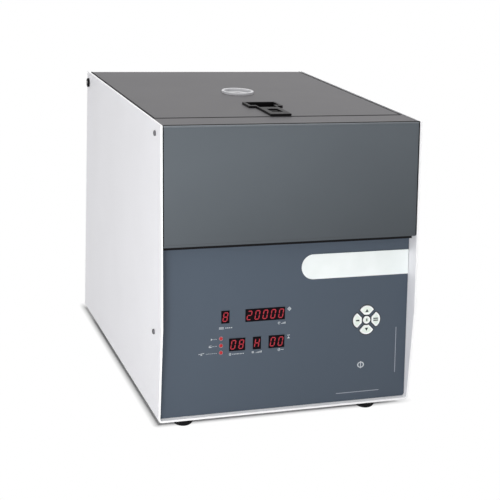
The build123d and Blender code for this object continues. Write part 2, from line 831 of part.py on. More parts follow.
# ---- drive -------------------------------------------------------------------------------------
def vibration_mount(x, y):
    half = mount_height / 2
    waist = mount_r - mount_waist
    points = [(0, -half), (mount_r, -half), (waist, 0), (mount_r, half), (0, half)]
    rubber = revolve(Plane.XZ * Polygon(*points, align=None), axis=Axis.Z)
    return Pos(x, y, base_top + half) * rubber


def motor_plate():
    half = motor_plate_half
    plate = block(-half, half, rotor_y - half, rotor_y + half, motor_plate_z, motor_z)
    return chamfer(plate.edges().filter_by(Axis.Z), motor_plate_corner)


def motor_housing():
    housing = ring(0, motor_r, motor_z, cap_z)
    fin_height = cap_z - motor_z - 2 * motor_fin_inset
    fin = Pos(motor_r, 0, (motor_z + cap_z) / 2) * Box(2 * motor_fin, motor_fin_t, fin_height)
    for i in range(motor_fins):
        housing += Pos(0, rotor_y, 0) * Rot(0, 0, i * 360 / motor_fins) * fin
    boss_top = motor_z + motor_floor + bearing_t / 2
    housing -= ring(0, motor_r - motor_wall, motor_z + motor_floor, cap_z)
    housing += ring(0, bearing_r + motor_wall, motor_z, boss_top)
    return housing - ring(0, bearing_r + fit, boss_top - bearing_t, boss_top)


lower_bearing_top = motor_z + motor_floor + bearing_t / 2


def motor_end_cap():
    cap = ring(0, motor_r + motor_fin, cap_z, cap_top)
    cap = fillet(cap.edges().sort_by(Axis.Z)[-1], motor_wall)
    cap -= ring(0, bearing_r + fit, cap_z, cap_z + bearing_t)
    return cap - ring(0, shaft_r + air_gap, cap_z, cap_top)


def motor_bearings():
    return [
        ring(shaft_r + running, bearing_r, lower_bearing_top - bearing_t, lower_bearing_top),
        ring(shaft_r + running, bearing_r, cap_z, cap_z + bearing_t),
    ]


winding_bottom = lower_bearing_top + motor_wall
winding_top = cap_z - motor_wall


def motor_stator():
    return ring(armature_r + air_gap, motor_r - motor_wall - fit, winding_bottom, winding_top)


def motor_armature():
    trim = motor_wall / 2
    return ring(shaft_r + fit, armature_r, winding_bottom + trim, winding_top - trim)


def motor_shaft():
    bottom = lower_bearing_top - bearing_t + air_gap
    stub_top = hub_top + stub_length
    shaft = ring(0, shaft_r, bottom, hub_top)
    shaft += ring(0, shaft_r + motor_wall, hub_bottom - motor_wall, hub_bottom)
    return shaft + ring(0, stub_r, hub_top, stub_top)


def shaft_boot():
    """Rubber bellows between the motor and the bowl."""
    low, high = cap_top, bowl_bottom
    step = (high - low) / boot_folds
    outer = [(boot_r, low)]
    for i in range(boot_folds):
        outer.append((boot_r - boot_fold, low + (i + 0.5) * step))
        outer.append((boot_r, low + (i + 1) * step))
    inner = [(r - boot_wall, z) for r, z in reversed(outer)]
    return turned(outer + inner)


# ---- rotor -------------------------------------------------------------------------------------
def sleeve_place(index):
    """The frame of one sleeve: its origin at the mouth, +Z up out of the mouth."""
    turn = Rot(0, 0, index * 360 / sleeve_count)
    return Pos(0, rotor_y, 0) * turn * Pos(mouth_r, 0, mouth_z) * Rot(0, -sleeve_angle, 0)


def rotor_dish():
    points = [
        (hub_r / 2, dish_z(hub_r / 2)), (rim_r, dish_z(rim_r)),
        (rim_r, dish_z(rim_r) - dish_drop), (hub_r / 2, dish_z(hub_r / 2) - dish_drop),
    ]
    dish = turned(points) + ring(0, hub_r, hub_bottom, hub_top)
    rim_top_z = dish_z(rim_r)
    dish += ring(rim_r - dish_t, rim_r + dish_t / 2, rim_top_z - 2 * dish_t, rim_top_z)
    for i in range(sleeve_count):
        place = sleeve_place(i)
        dish -= place * Pos(0, 0, -sleeve_length / 2) * Cylinder(sleeve_r + fit, sleeve_length)
        dish -= place * Cylinder(collar_r + inner_gap, 2 * collar_depth)
    return dish - ring(0, shaft_r + fit, hub_bottom, hub_top)


def tube_sleeve(index):
    low = -sleeve_length
    points = [
        (0, low), (sleeve_r, low), (sleeve_r, -collar_depth), (collar_r, -collar_depth),
        (collar_r, collar_t - collar_depth), (sleeve_r, collar_t - collar_depth),
        (sleeve_r, 0), (sleeve_bore_r, 0), (sleeve_bore_r, low + sleeve_floor),
        (0, low + sleeve_floor),
    ]
    sleeve = revolve(Plane.XZ * Polygon(*points, align=None), axis=Axis.Z)
    sleeve = fillet(sleeve.edges().sort_by(Axis.Z)[0], sleeve_edge)
    return sleeve_place(index) * sleeve


def rotor_nut():
    bore_top = hub_top + stub_length + fit
    nut = ring(stub_r + fit, nut_r, hub_top, bore_top)
    nut += ring(0, nut_r, bore_top, hub_top + nut_height)
    nut = fillet(nut.edges().group_by(Axis.Z)[-1], nut_edge)
    for i in range(nut_flutes):
        turn = Rot(0, 0, i * 360 / nut_flutes)
        groove = turn * Pos(nut_r, 0, hub_top + nut_height / 2) * Cylinder(nut_flute_r, nut_height)
        nut -= Pos(0, rotor_y, 0) * groove
    return nut


# ---- lid ---------------------------------------------------------------------------------------
bolt_top = lid_top - bolt_below_lid
bolt_bottom = bolt_top - bolt_height
latch_front = lid_front + latch_front_gap
latch_step = latch_front + latch_front_length
latch_back = latch_step + latch_rear_length
latch_top = lid_top + latch_t
window_front = latch_front + window_from_front
window_back = window_front + window_length
well_back = latch_back - well_from_rear
well_front = well_back - well_length
well_bottom = latch_top - well_deep - well_wall
bolt_tip = seam_y - hood_sheet - keeper_t - bolt_reach + bolt_travel


def well_block(grow, bottom):
    """The finger well's outside, grown evenly."""
    half = well_half + well_wall + grow
    wall = well_wall + grow
    return block(-half, half, well_front - wall, well_back + wall, bottom, latch_top)


def thumb_block(grow, bottom):
    """The narrow front run of the finger well, with walls of a thickness."""
    half = thumb_half + grow
    front = well_front - thumb_length
    return block(-half, half, front - grow, well_front, bottom, latch_top)


def lid_shell():
    shell = block(-lid_half, lid_half, lid_front, lid_back, lid_top - lid_skirt, lid_top)
    inside = lid_half - lid_sheet
    shell -= block(
        -inside, inside, lid_front + lid_sheet, lid_back - lid_sheet,
        lid_top - lid_skirt, lid_under,
    )
    shell += block(
        -lid_half, lid_half, lid_back - lid_sheet, lid_back, lid_top - rear_skirt, lid_top
    )
    shell = fillet(shell.faces().sort_by(Axis.Z)[-1].edges(), lid_edge)
    shell -= upright(0, rotor_y, lid_under, lid_top, bezel_spigot_r + fit)
    shell -= well_block(cutout_gap, lid_under) + thumb_block(well_wall + cutout_gap, lid_under)
    half = window_half + cutout_gap
    shell -= block(-half, half, window_front, window_back, lid_under, lid_top)
    slot = bolt_half + inner_gap
    shell -= block(
        -slot, slot, lid_front, lid_front + lid_sheet,
        bolt_bottom - inner_gap, bolt_top + inner_gap,
    )
    return shell - crosswise(hinge_y, hinge_z, -lid_half, lid_half, hinge_pin_r + running)


def lid_liner():
    front = lid_front + liner_inset
    liner = block(-liner_half, liner_half, front, liner_back, liner_bottom, lid_under)
    inside = liner_half - liner_wall
    liner -= block(
        -inside, inside, front + liner_wall, liner_back - liner_wall,
        liner_bottom + liner_wall, lid_under,
    )
    liner += upright(0, rotor_y, liner_bottom, lid_under - bezel_spigot, lens_r + liner_wall)
    liner -= upright(0, rotor_y, liner_bottom, lid_under, lens_r + fit)
    half = bolt_half + guide_wall + 2 * inner_gap
    return liner - block(
        -half, half, front, front + liner_wall, bolt_bottom - guide_wall - 2 * inner_gap, lid_under
    )


lens_r = bezel_inner_r - cutout_gap


def window_bezel():
    bezel = ring(bezel_inner_r, bezel_r, lid_top, lid_top + bezel_proud)
    bezel = fillet(bezel.edges().group_by(Axis.Z)[-1], bezel_edge)
    return bezel + ring(bezel_inner_r, bezel_spigot_r, lid_under - bezel_spigot, lid_top)


def window_lens():
    return upright(0, rotor_y, liner_bottom + inner_gap, lid_top + bezel_proud - lens_sunk, lens_r)


def hinge_block():
    half = hinge_block_half
    carrier = block(
        inner_half - hinge_pin_inside, lid_half - lid_sheet, hinge_y - half,
        lid_back - lid_sheet, hinge_z - half, lid_under,
    )
    return carrier - crosswise(hinge_y, hinge_z, 0, half_width, hinge_pin_r + running)


def hinge_pin():
    cap_face = half_width + hinge_cap_t
    pin = crosswise(hinge_y, hinge_z, inner_half - hinge_pin_inside, cap_face, hinge_pin_r)
    nub = crosswise(hinge_y, hinge_z, cap_face, cap_face + hinge_nub, hinge_nub_r)
    return pin + fillet(nub.edges().sort_by(Axis.X)[-1], hinge_nub / 2)


def hinge_cap():
    cap = crosswise(hinge_y, hinge_z, half_width, half_width + hinge_cap_t, hinge_cap_r)
    cap = fillet(cap.edges().sort_by(Axis.X)[-1], hinge_cap_edge)
    return cap - crosswise(hinge_y, hinge_z, 0, half_width + hinge_cap_t, hinge_pin_r + fit)


def hinge_washer():
    low, high = lid_half + washer_play, inner_half - washer_play
    washer = crosswise(hinge_y, hinge_z, low, high, washer_r)
    return washer - crosswise(hinge_y, hinge_z, low, high, hinge_pin_r + fit)


# ---- latch -------------------------------------------------------------------------------------
def latch_housing():
    front = block(
        -latch_front_half, latch_front_half, latch_front, latch_step, lid_top, latch_top
    )
    rear = block(-latch_rear_half, latch_rear_half, latch_step, latch_back, lid_top, latch_top)
    housing = fillet((front + rear).edges().filter_by(Axis.Z), latch_corner)
    housing = fillet(housing.edges().group_by(Axis.Z)[-1], latch_edge)
    middle = lid_top + latch_t / 2
    thumb_bottom = latch_top - well_shallow - well_wall
    housing += well_block(0, well_bottom) & block(
        -latch_rear_half, latch_rear_half, latch_step, latch_back, well_bottom, middle
    )
    housing += thumb_block(well_wall, thumb_bottom) & block(
        -latch_front_half, latch_front_half, latch_front, latch_step, thumb_bottom, middle
    )
    floor = [
        (well_front, latch_top), (well_front, latch_top - well_shallow),
        (well_back, latch_top - well_deep), (well_back, latch_top),
    ]
    housing -= side_form(floor, -well_half, well_half)
    housing -= thumb_block(0, latch_top - well_shallow)
    return housing - block(
        -window_half, window_half, window_front, window_back, lid_top, latch_top
    )


def latch_guide():
    half = bolt_half + inner_gap
    floor_top = bolt_bottom - inner_gap
    front = lid_front + lid_sheet
    back = window_back + guide_wall
    guide = block(
        -half - guide_wall, half + guide_wall, front, back, floor_top - guide_wall, lid_under
    )
    return guide - block(-half, half, front, back, floor_top, lid_under)


def latch_slide():
    button_back = window_back - inner_gap
    bolt = block(-bolt_half, bolt_half, bolt_tip, button_back, bolt_bottom, bolt_top)
    button_half = bolt_half - inner_gap
    button = block(
        -button_half, button_half, button_back - button_length, button_back,
        bolt_top, latch_top - button_sunk,
    )
    for i in range(button_ribs):
        y = button_back - button_length * (i + 1) / (button_ribs + 1)
        groove = Box(2 * button_half, button_groove, 2 * button_groove_depth)
        button -= Pos(0, y, latch_top - button_sunk) * groove
    return bolt + button


def latch_keeper():
    front = seam_y - hood_sheet - keeper_t
    back = seam_y - hood_sheet
    play = inner_gap * 3
    plate = block(
        -keeper_half, keeper_half, front, back, bolt_bottom - keeper_rim, lid_top - hood_sheet
    )
    return plate - block(
        -bolt_half - play, bolt_half + play, front, back, bolt_bottom - play, bolt_top + play
    )


def lid_sensor():
    width, depth, height = sensor_size
    back = seam_y - hood_sheet
    top = lid_top - hood_sheet
    return block(sensor_x, sensor_x + width, back - depth, back, top - height, top)


# ---- controls ----------------------------------------------------------------------------------
def display(name):
    x, digits, row = displays[name]
    width = digits * digit_width
    face = Rectangle(width, display_height)
    return on_panel(x + width / 2, row, board_front, display_proud, face)


def status_lamp(step):
    d = lower_row + step * lamp_pitch
    lamp = on_panel(lamp_x, d, board_front, 0, Circle(lamp_r))
    dome = panel_plane.location * Pos(lamp_x, -d, 0) * Sphere(lamp_r)
    return lamp + dome


def badge_plate():
    right = sheet_half - badge_edge_gap
    end_r = badge_height / 2
    start = right - badge_length + end_r
    shape = Pos(start, 0) * Circle(end_r)
    shape += Pos((start + right) / 2, 0) * Rectangle(right - start, badge_height)
    return on_panel(0, badge_d, 0, badge_t, shape)


def pressed_key(shape, flange, stem_spot):
    """A key: its cap in the panel, the flange that keeps it in, and the stem to its switch."""
    under = -panel_sheet - inner_gap
    cap = on_panel(pad_x, pad_d, under - key_flange_t / 2, key_proud, shape)
    cap += on_panel(pad_x, pad_d, under - key_flange_t, under, flange)
    stem_end = board_front + key_travel + inner_gap
    spot_x, spot_y = stem_spot
    return cap + on_panel(
        pad_x + spot_x, pad_d - spot_y, stem_end, under - key_flange_t / 2, Circle(key_stem_r)
    )


def arrow_key(name):
    turn = key_turns[name]
    reach = (pad_chord + pad_r) / 2
    spot = (-reach * sin(radians(turn)), reach * cos(radians(turn)))
    return pressed_key(key_outline(turn, 0), key_outline(turn, key_flange), spot)


def centre_key():
    return pressed_key(Circle(centre_key_r), Circle(centre_key_r + key_flange), (0, 0))


def control_board():
    shape = Rectangle(2 * board_half, board_bottom - board_top)
    middle = (board_top + board_bottom) / 2
    return on_panel(0, middle, board_front - board_t, board_front, shape)


def drive_unit():
    """The motor's controller, a box with cooling fins, on the base plate."""
    width, depth, height = drive_size
    front = base_front + drive_from_panel
    left = drive_x - width / 2
    unit = block(left, left + width, front, front + depth, base_top, base_top + height)
    for i in range(drive_fins):
        x = left + i * (width - drive_fin_t) / (drive_fins - 1)
        fin_low = base_top + height - drive_fin_t
        unit += block(
            x, x + drive_fin_t, front, front + depth, fin_low, base_top + height + drive_fin
        )
    return unit


# ---- nodes -------------------------------------------------------------------------------------
guard_ring_top = deck_bottom - inner_gap
mount_spots = [
    (x, rotor_y + y) for x in (-mount_pitch, mount_pitch) for y in (-mount_pitch, mount_pitch)
]
nodes = {
    "cabinet_wrap": [cabinet_wrap()],
    "front_hood": [front_hood()],
    "control_panel": [control_panel()],
    "rear_panel": [rear_panel()],
    "base_plate": [base_plate()],
    "rubber_feet": [rubber_foot(x, y) for x, y in foot_spots],
    "foot_bolts": [foot_bolt(x, y) for x, y in foot_spots],
    "side_screws": side_screws(),
    "rear_screws": [rear_screw(x) for x in rear_screw_x],
    "mains_inlet": [mains_inlet()],
    "switch_frame": [switch_frame()],
    "switch_rocker": [switch_rocker()],
    "fan_frame": [fan_frame()],
    "fan_blades": [fan_blades()],
    "fan_guard": [fan_guard()],
    "chamber_deck": [chamber_deck()],
    "chamber_bowl": [chamber_bowl()],
    "bowl_gasket": [bowl_gasket()],
    "guard_ring": [ring(guard_inner_r, guard_r, shelf_top, guard_ring_top)],
    "chamber_shelf": [chamber_shelf()],
    "vibration_mounts": [vibration_mount(x, y) for x, y in mount_spots],
    "motor_plate": [motor_plate()],
    "motor_housing": [motor_housing()],
    "motor_end_cap": [motor_end_cap()],
    "motor_bearings": motor_bearings(),
    "motor_stator": [motor_stator()],
    "motor_armature": [motor_armature()],
    "motor_shaft": [motor_shaft()],
    "shaft_boot": [shaft_boot()],
    "rotor_dish": [rotor_dish()],
    "tube_sleeves": [tube_sleeve(i) for i in range(sleeve_count)],
    "rotor_nut": [rotor_nut()],
    "lid_shell": [lid_shell()],
    "lid_liner": [lid_liner()],
    "window_bezel": [window_bezel()],
    "window_lens": [window_lens()],
    "hinge_blocks": both_sides(hinge_block()),
    "hinge_pins": both_sides(hinge_pin()),
    "hinge_caps": both_sides(hinge_cap()),
    "hinge_washers": both_sides(hinge_washer()),
    "latch_housing": [latch_housing()],
    "latch_guide": [latch_guide()],
    "latch_slide": [latch_slide()],
    "latch_keeper": [latch_keeper()],
    "lid_sensor": [lid_sensor()],
    "status_lamps": [status_lamp(step) for step in (-1, 0, 1)],
    "badge_plate": [badge_plate()],
    "centre_key": [centre_key()],
    "control_board": [control_board()],
    "drive_unit": [drive_unit()],
}
for name in displays:
    nodes[name] = [display(name)]
for name in key_turns:
    nodes[name] = [arrow_key(name)]

os.makedirs("parts", exist_ok=True)
for name, pieces in nodes.items():
    solids = [solid for piece in pieces for solid in piece.solids()]
    export_step(solids[0] if len(solids) == 1 else Compound(solids), f"parts/{name}.step")
print(f"{len(nodes)} nodes, hinge axis at y {hinge_y} z {hinge_z}, rotor axis at y {rotor_y:.3f}")
print(f"sleeve mouths at radius {mouth_r:.3f} z {mouth_z:.3f}, dish rim at z {dish_z(rim_r):.2f}")
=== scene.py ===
# %% [markdown]
# # A bench centrifuge for butterfat tubes
#
# The real machine is a folded steel cabinet with powder coated sides, a dark hood and lid, and a
# sloping control panel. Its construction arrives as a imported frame: every sub-part is already at its
# real size and place. This lesson adds what the frame doesn't hold: the finishes, the lit digits, the
# printed marks, the softened edges and the small repeated pieces. Everything is in metres, +Z is up
# and the front of the machine faces -Y.

import json
import math

import bmesh
import bpy
from mathutils import Matrix, Vector

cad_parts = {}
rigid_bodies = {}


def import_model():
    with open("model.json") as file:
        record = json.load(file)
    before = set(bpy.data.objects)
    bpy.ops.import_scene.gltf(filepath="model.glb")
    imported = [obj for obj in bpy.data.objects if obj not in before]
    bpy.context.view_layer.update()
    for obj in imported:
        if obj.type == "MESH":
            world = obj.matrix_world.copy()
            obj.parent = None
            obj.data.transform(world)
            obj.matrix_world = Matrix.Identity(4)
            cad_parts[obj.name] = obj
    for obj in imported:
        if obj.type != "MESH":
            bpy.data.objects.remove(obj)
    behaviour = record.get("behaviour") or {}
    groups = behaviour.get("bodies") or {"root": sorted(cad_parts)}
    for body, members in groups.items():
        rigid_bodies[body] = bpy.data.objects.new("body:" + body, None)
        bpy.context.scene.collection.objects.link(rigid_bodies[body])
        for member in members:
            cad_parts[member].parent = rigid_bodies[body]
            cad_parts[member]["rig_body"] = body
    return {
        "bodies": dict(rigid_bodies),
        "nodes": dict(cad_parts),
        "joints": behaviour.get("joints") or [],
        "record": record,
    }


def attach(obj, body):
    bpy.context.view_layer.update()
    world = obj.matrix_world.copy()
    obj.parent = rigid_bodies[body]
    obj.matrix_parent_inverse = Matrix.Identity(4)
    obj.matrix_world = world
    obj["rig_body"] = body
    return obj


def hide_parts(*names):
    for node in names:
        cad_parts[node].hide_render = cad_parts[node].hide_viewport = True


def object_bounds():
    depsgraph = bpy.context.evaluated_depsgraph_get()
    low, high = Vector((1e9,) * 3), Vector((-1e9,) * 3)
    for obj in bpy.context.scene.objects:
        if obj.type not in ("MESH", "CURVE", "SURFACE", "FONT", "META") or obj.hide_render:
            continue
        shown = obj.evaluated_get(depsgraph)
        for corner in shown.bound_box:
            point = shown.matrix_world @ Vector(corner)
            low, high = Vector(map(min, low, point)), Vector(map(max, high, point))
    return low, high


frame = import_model()
nodes = frame["nodes"]
cad_box = [list(corner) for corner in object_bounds()]
for part in ("nodes", "bodies", "joints"):
    print(len(frame[part]), part)

# %% [markdown]
# ## Units and places
#
# Small sizes are easier to read in millimetres, so `MM` turns them into metres. Every place is taken
# from the frame: a node's box gives where its neighbours sit, and a joint's axis gives the direction
# in which a key is pressed. The panel leans back, so a second set of axes lies in its face, with its
# origin in the middle of the upper edge: x to the right, y up the slope and z out of the face.

# %% Units and the panel's own axes
MM = 0.001


def joint(name):
    return next(j for j in frame["joints"] if j["name"] == name)


def box(points):
    """The lowest and the highest corner of some points."""
    return [Vector(pick(p[i] for p in points) for i in range(3)) for pick in (min, max)]


def span(node, axes=Matrix()):
    """Lowest and highest corner of a CAD node, measured along other axes."""
    into = axes.inverted()
    return box([into @ vertex.co for vertex in nodes[node].data.vertices])


panel_out = -Vector(joint("centre_key_press")["axis"]).normalized()
panel_up = panel_out.cross(Vector((1, 0, 0)))
panel_axes = Matrix((Vector((1, 0, 0)), panel_up, panel_out)).transposed().to_4x4()
panel_edge = span("control_panel", panel_axes)[1].y
panel_face = span("badge_plate", panel_axes)[0].z
panel_place = panel_axes @ Matrix.Translation((0, panel_edge, panel_face))
print(f"the panel leans back {math.degrees(math.asin(panel_out.z)):.2f} degrees")

# %% [markdown]
# ## The camera
#
# A product shot is taken from a little to the left and above, with a long lens that keeps the sides
# nearly parallel. The camera is turned in three steps: down by its pitch, round by its yaw, and a
# small roll about its own line of sight.

# %% Camera
FOCAL_PIXELS = 1209.8
IMAGE_PIXELS = 500
SENSOR = 36.0
CLIP_END = 100
CAMERA_PLACE = (-0.6337, -1.8069, 0.7735)
YAW, PITCH, ROLL = 19.93, 16.64, 2.95


def linked(name, data):
    """A new object that is part of the scene."""
    obj = bpy.data.objects.new(name, data)
    bpy.context.scene.collection.objects.link(obj)
    return obj


camera_data = bpy.data.cameras.new("product_camera")
camera_data.sensor_width = SENSOR
camera_data.lens = FOCAL_PIXELS / IMAGE_PIXELS * SENSOR
camera_data.clip_end = CLIP_END
camera = linked("product_camera", camera_data)
camera.matrix_world = (
    Matrix.Translation(CAMERA_PLACE)
    @ Matrix.Rotation(math.radians(-YAW), 4, "Z")
    @ Matrix.Rotation(math.radians(90 - PITCH), 4, "X")
    @ Matrix.Rotation(math.radians(ROLL), 4, "Z")
)
bpy.context.scene.camera = camera
print(f"lens {camera_data.lens:.1f} mm at {camera.location.length:.2f} m")

# %% [markdown]
# ## A small language for node trees
#
# Shader maths drawn as boxes and wires is hard to read in a script. `Wire` wraps one output socket and
# overloads the operators, so `1 - mask` or `height * 0.3` adds the Math node by itself. Every other
# node comes from one method, `node`, which takes the node's type, its settings and the values or
# links of its inputs. The same class serves material trees and Geometry Nodes trees.

# %% Wires and trees
class Wire:
    """An output socket with arithmetic."""

    def __init__(self, tree, socket):
        self.tree = tree
        self.socket = socket

    def maths(self, operation, *values):
        return self.tree.node("ShaderNodeMath", {"operation": operation}, dict(enumerate(values)))

    def __add__(self, other):
        return self.maths("ADD", self, other)

    def __sub__(self, other):
        return self.maths("SUBTRACT", self, other)

    def __rsub__(self, other):
        return self.maths("SUBTRACT", other, self)

    def __mul__(self, other):
        return self.maths("MULTIPLY", self, other)

    def __pow__(self, other):
        return self.maths("POWER", self, other)

    __radd__ = __add__

    def above(self, limit):
        """The part by which it is over a limit, or nothing."""
        return self.maths("MAXIMUM", self - limit, 0.0)

    def clamped(self):
        return self.maths("MINIMUM", self.maths("MAXIMUM", self, 0.0), 1.0)


class Tree:
    """A node tree that is built by calls."""

    def __init__(self, tree):
        self.tree = tree

    def put(self, socket, value):
        if isinstance(value, Wire):
            self.tree.links.new(value.socket, socket)
        else:
            socket.default_value = value

    def node(self, kind, settings=None, inputs=None, output=0):
        made = self.tree.nodes.new(kind)
        for name, value in (settings or {}).items():
            setattr(made, name, value)
        for name, value in (inputs or {}).items():
            self.put(made.inputs[name], value)
        return Wire(self, made.outputs[output])


print("node trees can be written as expressions")

# %% [markdown]
# ## Finishes start from one recipe
#
# All the finishes share a start: a Principled shader with its fixed numbers set on its own sockets,
# and patterns that read Object coordinates. Every piece sits at the origin with its place in its mesh,
# so Object coordinates are simply metres in the machine, and a pattern runs on from one piece to the
# next. Only colour, roughness, metallic and the bump vary over a surface.

# %% The shared start of a finish
class Finish(Tree):
    """A material, its shader, and the patterns most finishes use."""

    def __init__(self, name, colour, roughness, metallic=0.0, **fixed):
        self.material = bpy.data.materials.new(name)
        self.material.use_nodes = True
        super().__init__(self.material.node_tree)
        self.shader = self.tree.nodes["Principled BSDF"]
        self.set("Base Color", (*colour, 1))
        self.set("Roughness", roughness)
        self.set("Metallic", metallic)
        for socket, value in fixed.items():
            self.set(socket.replace("_", " "), value)
        self.place = self.node("ShaderNodeTexCoord", output="Object")
        self.heights = []

    def set(self, socket, value):
        self.put(self.shader.inputs[socket], value)

    def noise(self, size, detail=2.0, place=None):
        """A noise whose lumps are about `size` metres across."""
        scaled = self.node(
            "ShaderNodeMapping", {"vector_type": "POINT"},
            {"Vector": place or self.place, "Scale": (1 / size,) * 3},
        )
        values = {"Vector": scaled, "Scale": 1.0, "Detail": detail}
        return self.node("ShaderNodeTexNoise", {}, values)

    def along(self, axis, place=None):
        """One coordinate, in metres."""
        return self.node("ShaderNodeSeparateXYZ", {}, {"Vector": place or self.place}, output=axis)

    def facing(self, axis):
        """How far the surface faces along an axis, from -1 to 1."""
        return self.along(axis, self.node("ShaderNodeNewGeometry", output="Normal"))

    def blend(self, factor, first, second):
        """A mix of two colours."""
        pair = {"Factor": factor, 6: self.rgba(first), 7: self.rgba(second)}
        return self.node("ShaderNodeMix", {"data_type": "RGBA"}, pair, output=2)

    @staticmethod
    def rgba(colour):
        return colour if isinstance(colour, Wire) else (*colour, 1)

    def bump(self, height, depth):
        """Raises the surface by up to `depth` metres where the height is 1."""
        self.heights.append((height, depth))

    def done(self):
        normal = None
        for height, depth in self.heights:
            links = {"Height": height, "Distance": depth, "Strength": 1.0}
            if normal:
                links["Normal"] = normal
            normal = self.node("ShaderNodeBump", {}, links)
        if normal:
            self.set("Normal", normal)
        return self.material


def tint(colour, gain):
    return tuple(min(1.0, c * gain) for c in colour)


print("a finish is a shader, a place and a list of bumps")

# %% [markdown]
# ## Painted sheet metal
#
# Powder coat melts into a skin with a very fine, soft texture, while stoving enamel is smoother and a
# little glossier. Both come from one function: a fine bump for the skin, a slow one for the waviness of
# the sheet, and a faint unevenness in colour and gloss, because no paint is perfectly even. The same
# function also paints light and shade into the colour. A tone that slopes along x and z is a painted
# light gradient: lighter towards the upper left of the hood and its fold, darker towards the left of
# the lid. The hood's upward strip is painted a darker, more neutral grey, a painted shade, and the
# white cabinet's front-facing and upward faces, its narrow front edges and flat ledges, are painted
# whiter, a painted highlight.

# %% Painted finishes
SIDE_WHITE = (0.800, 0.798, 0.828)
HOOD_GREY = (0.084, 0.096, 0.108)
LID_GREY = (0.081, 0.078, 0.083)
# painted shade: the darker, more neutral grey of the hood's upward strip
PAINTED_SHADE_GREY = (0.065, 0.062, 0.068)
# painted highlight: the whiter colour of the white paint on front-facing and upward faces
PAINTED_HIGHLIGHT_WHITE = (0.97, 0.97, 0.98)
PRIMER_GREY = (0.15, 0.15, 0.155)
# painted highlight: how much lighter the fold's copy of the hood enamel is
FOLD_HIGHLIGHT_GAIN = 1.35
PAINTED_LIGHT_MIDDLE = 0.33
CLOUD_SIZE = 0.09
SHEET_WAVE, SHEET_WAVE_DEPTH = 0.12, 0.25 * MM
STEEP = 0.5


def paint(name, colour, roughness, skin, skin_depth, shine=0.5, painted_upward=None, painted_frontal=None,
          painted_light_drift=(0, 0), spread=0.18):
    """A paint finish with painted light: its colour slopes along x and z by a share of the spread per
    metre, and faces turned up and to the front can take a painted colour of their own.
    """
    finish = Finish(name, colour, roughness, Specular_IOR_Level=shine)
    cloud = finish.noise(CLOUD_SIZE, 3.0)
    grain = finish.noise(skin, 3.0)
    # painted light gradient: the tone slopes along x and z, standing for how the light falls on the
    # machine
    painted_light_slope = finish.along("X") * painted_light_drift[0] + (finish.along("Z") - PAINTED_LIGHT_MIDDLE) * painted_light_drift[1]
    tone = (0.4 + cloud * 0.2 + painted_light_slope).clamped()
    coat = finish.blend(tone, tint(colour, 1 - spread), tint(colour, 1 + spread))
    # painted light and shade: faces turned up, and faces turned to the front, take their own painted
    # colour
    for axis, sign, own in (("Z", 1, painted_upward), ("Y", -1, painted_frontal)):
        if own:
            towards = (finish.facing(axis) * sign).above(STEEP) * (1 / (1 - STEEP))
            coat = finish.blend(towards, coat, own)
    finish.set("Base Color", coat)
    finish.set("Roughness", roughness - 0.05 + cloud * 0.06 + grain * 0.05)
    finish.bump(grain, skin_depth)
    finish.bump(finish.noise(SHEET_WAVE, 1.0), SHEET_WAVE_DEPTH)
    return finish.done()


# painted highlight: the cabinet's front-facing and upward faces, edges and ledges, are painted whiter
side_paint = paint(
    "powder_coat_white", SIDE_WHITE, 0.46, 1.1 * MM, 0.03 * MM,
    painted_upward=PAINTED_HIGHLIGHT_WHITE, painted_frontal=PAINTED_HIGHLIGHT_WHITE,
)
# painted light gradient, lighter towards the upper left, and painted shade on the hood's upward strip
hood_paint = paint(
    "stoving_enamel_hood", HOOD_GREY, 0.42, 1.6 * MM, 0.02 * MM, shine=0.25, painted_upward=PAINTED_SHADE_GREY,
    painted_light_drift=(-1.2, 4.8), spread=0.26,
)
# painted highlight: a lighter copy of the hood enamel for the roll under the upper seam, lighter again
# to the left
fold_painted_highlight = paint(
    "stoving_enamel_fold", tint(HOOD_GREY, FOLD_HIGHLIGHT_GAIN), 0.36, 1.6 * MM, 0.02 * MM, painted_light_drift=(-2.0, 0)
)
# painted shade: the lid's colour is darker towards the left, where the lamps light it most
lid_paint = paint(
    "stoving_enamel_lid", LID_GREY, 0.50, 1.6 * MM, 0.02 * MM, shine=0.30, painted_light_drift=(0.5, 0)
)
guard_paint = paint("grey_primer", PRIMER_GREY, 0.6, 2.0 * MM, 0.05 * MM)
print("five painted finishes")

# %% [markdown]
# ## The panel's overlay
#
# The control panel wears a printed polycarbonate film over painted steel. It is flatter and bluer than
# the hood, with an even, very fine matt emboss. Its slate colour carries a painted light gradient:
# lighter towards the upper left and darker towards the lower right.

# %% Panel overlay
PANEL_SLATE = (0.068, 0.088, 0.117)
# painted light gradient: the slate is lighter towards the upper left, darker towards the lower right
PAINTED_SHADE_GAIN, PAINTED_LIGHT_GAIN = 0.87, 1.14
PANEL_LIGHT_MIDDLE = 0.16
PANEL_LIGHT_UP, PANEL_LIGHT_RIGHT = 1.6, 0.7


def panel_overlay():
    finish = Finish("panel_overlay", PANEL_SLATE, 0.44, Specular_IOR_Level=0.28)
    up = (finish.along("Z") - PANEL_LIGHT_MIDDLE) * PANEL_LIGHT_UP
    fade = (0.5 + up - finish.along("X") * PANEL_LIGHT_RIGHT).clamped()
    grain = finish.noise(0.6 * MM, 2.0)
    # painted light gradient laid over the overlay's slate colour
    ink = finish.blend(fade, tint(PANEL_SLATE, PAINTED_SHADE_GAIN), tint(PANEL_SLATE, PAINTED_LIGHT_GAIN))
    finish.set("Base Color", ink)
    finish.set("Roughness", 0.40 + grain * 0.08)
    finish.bump(grain, 0.02 * MM)
    return finish.done()


overlay = panel_overlay()
print("overlay made")

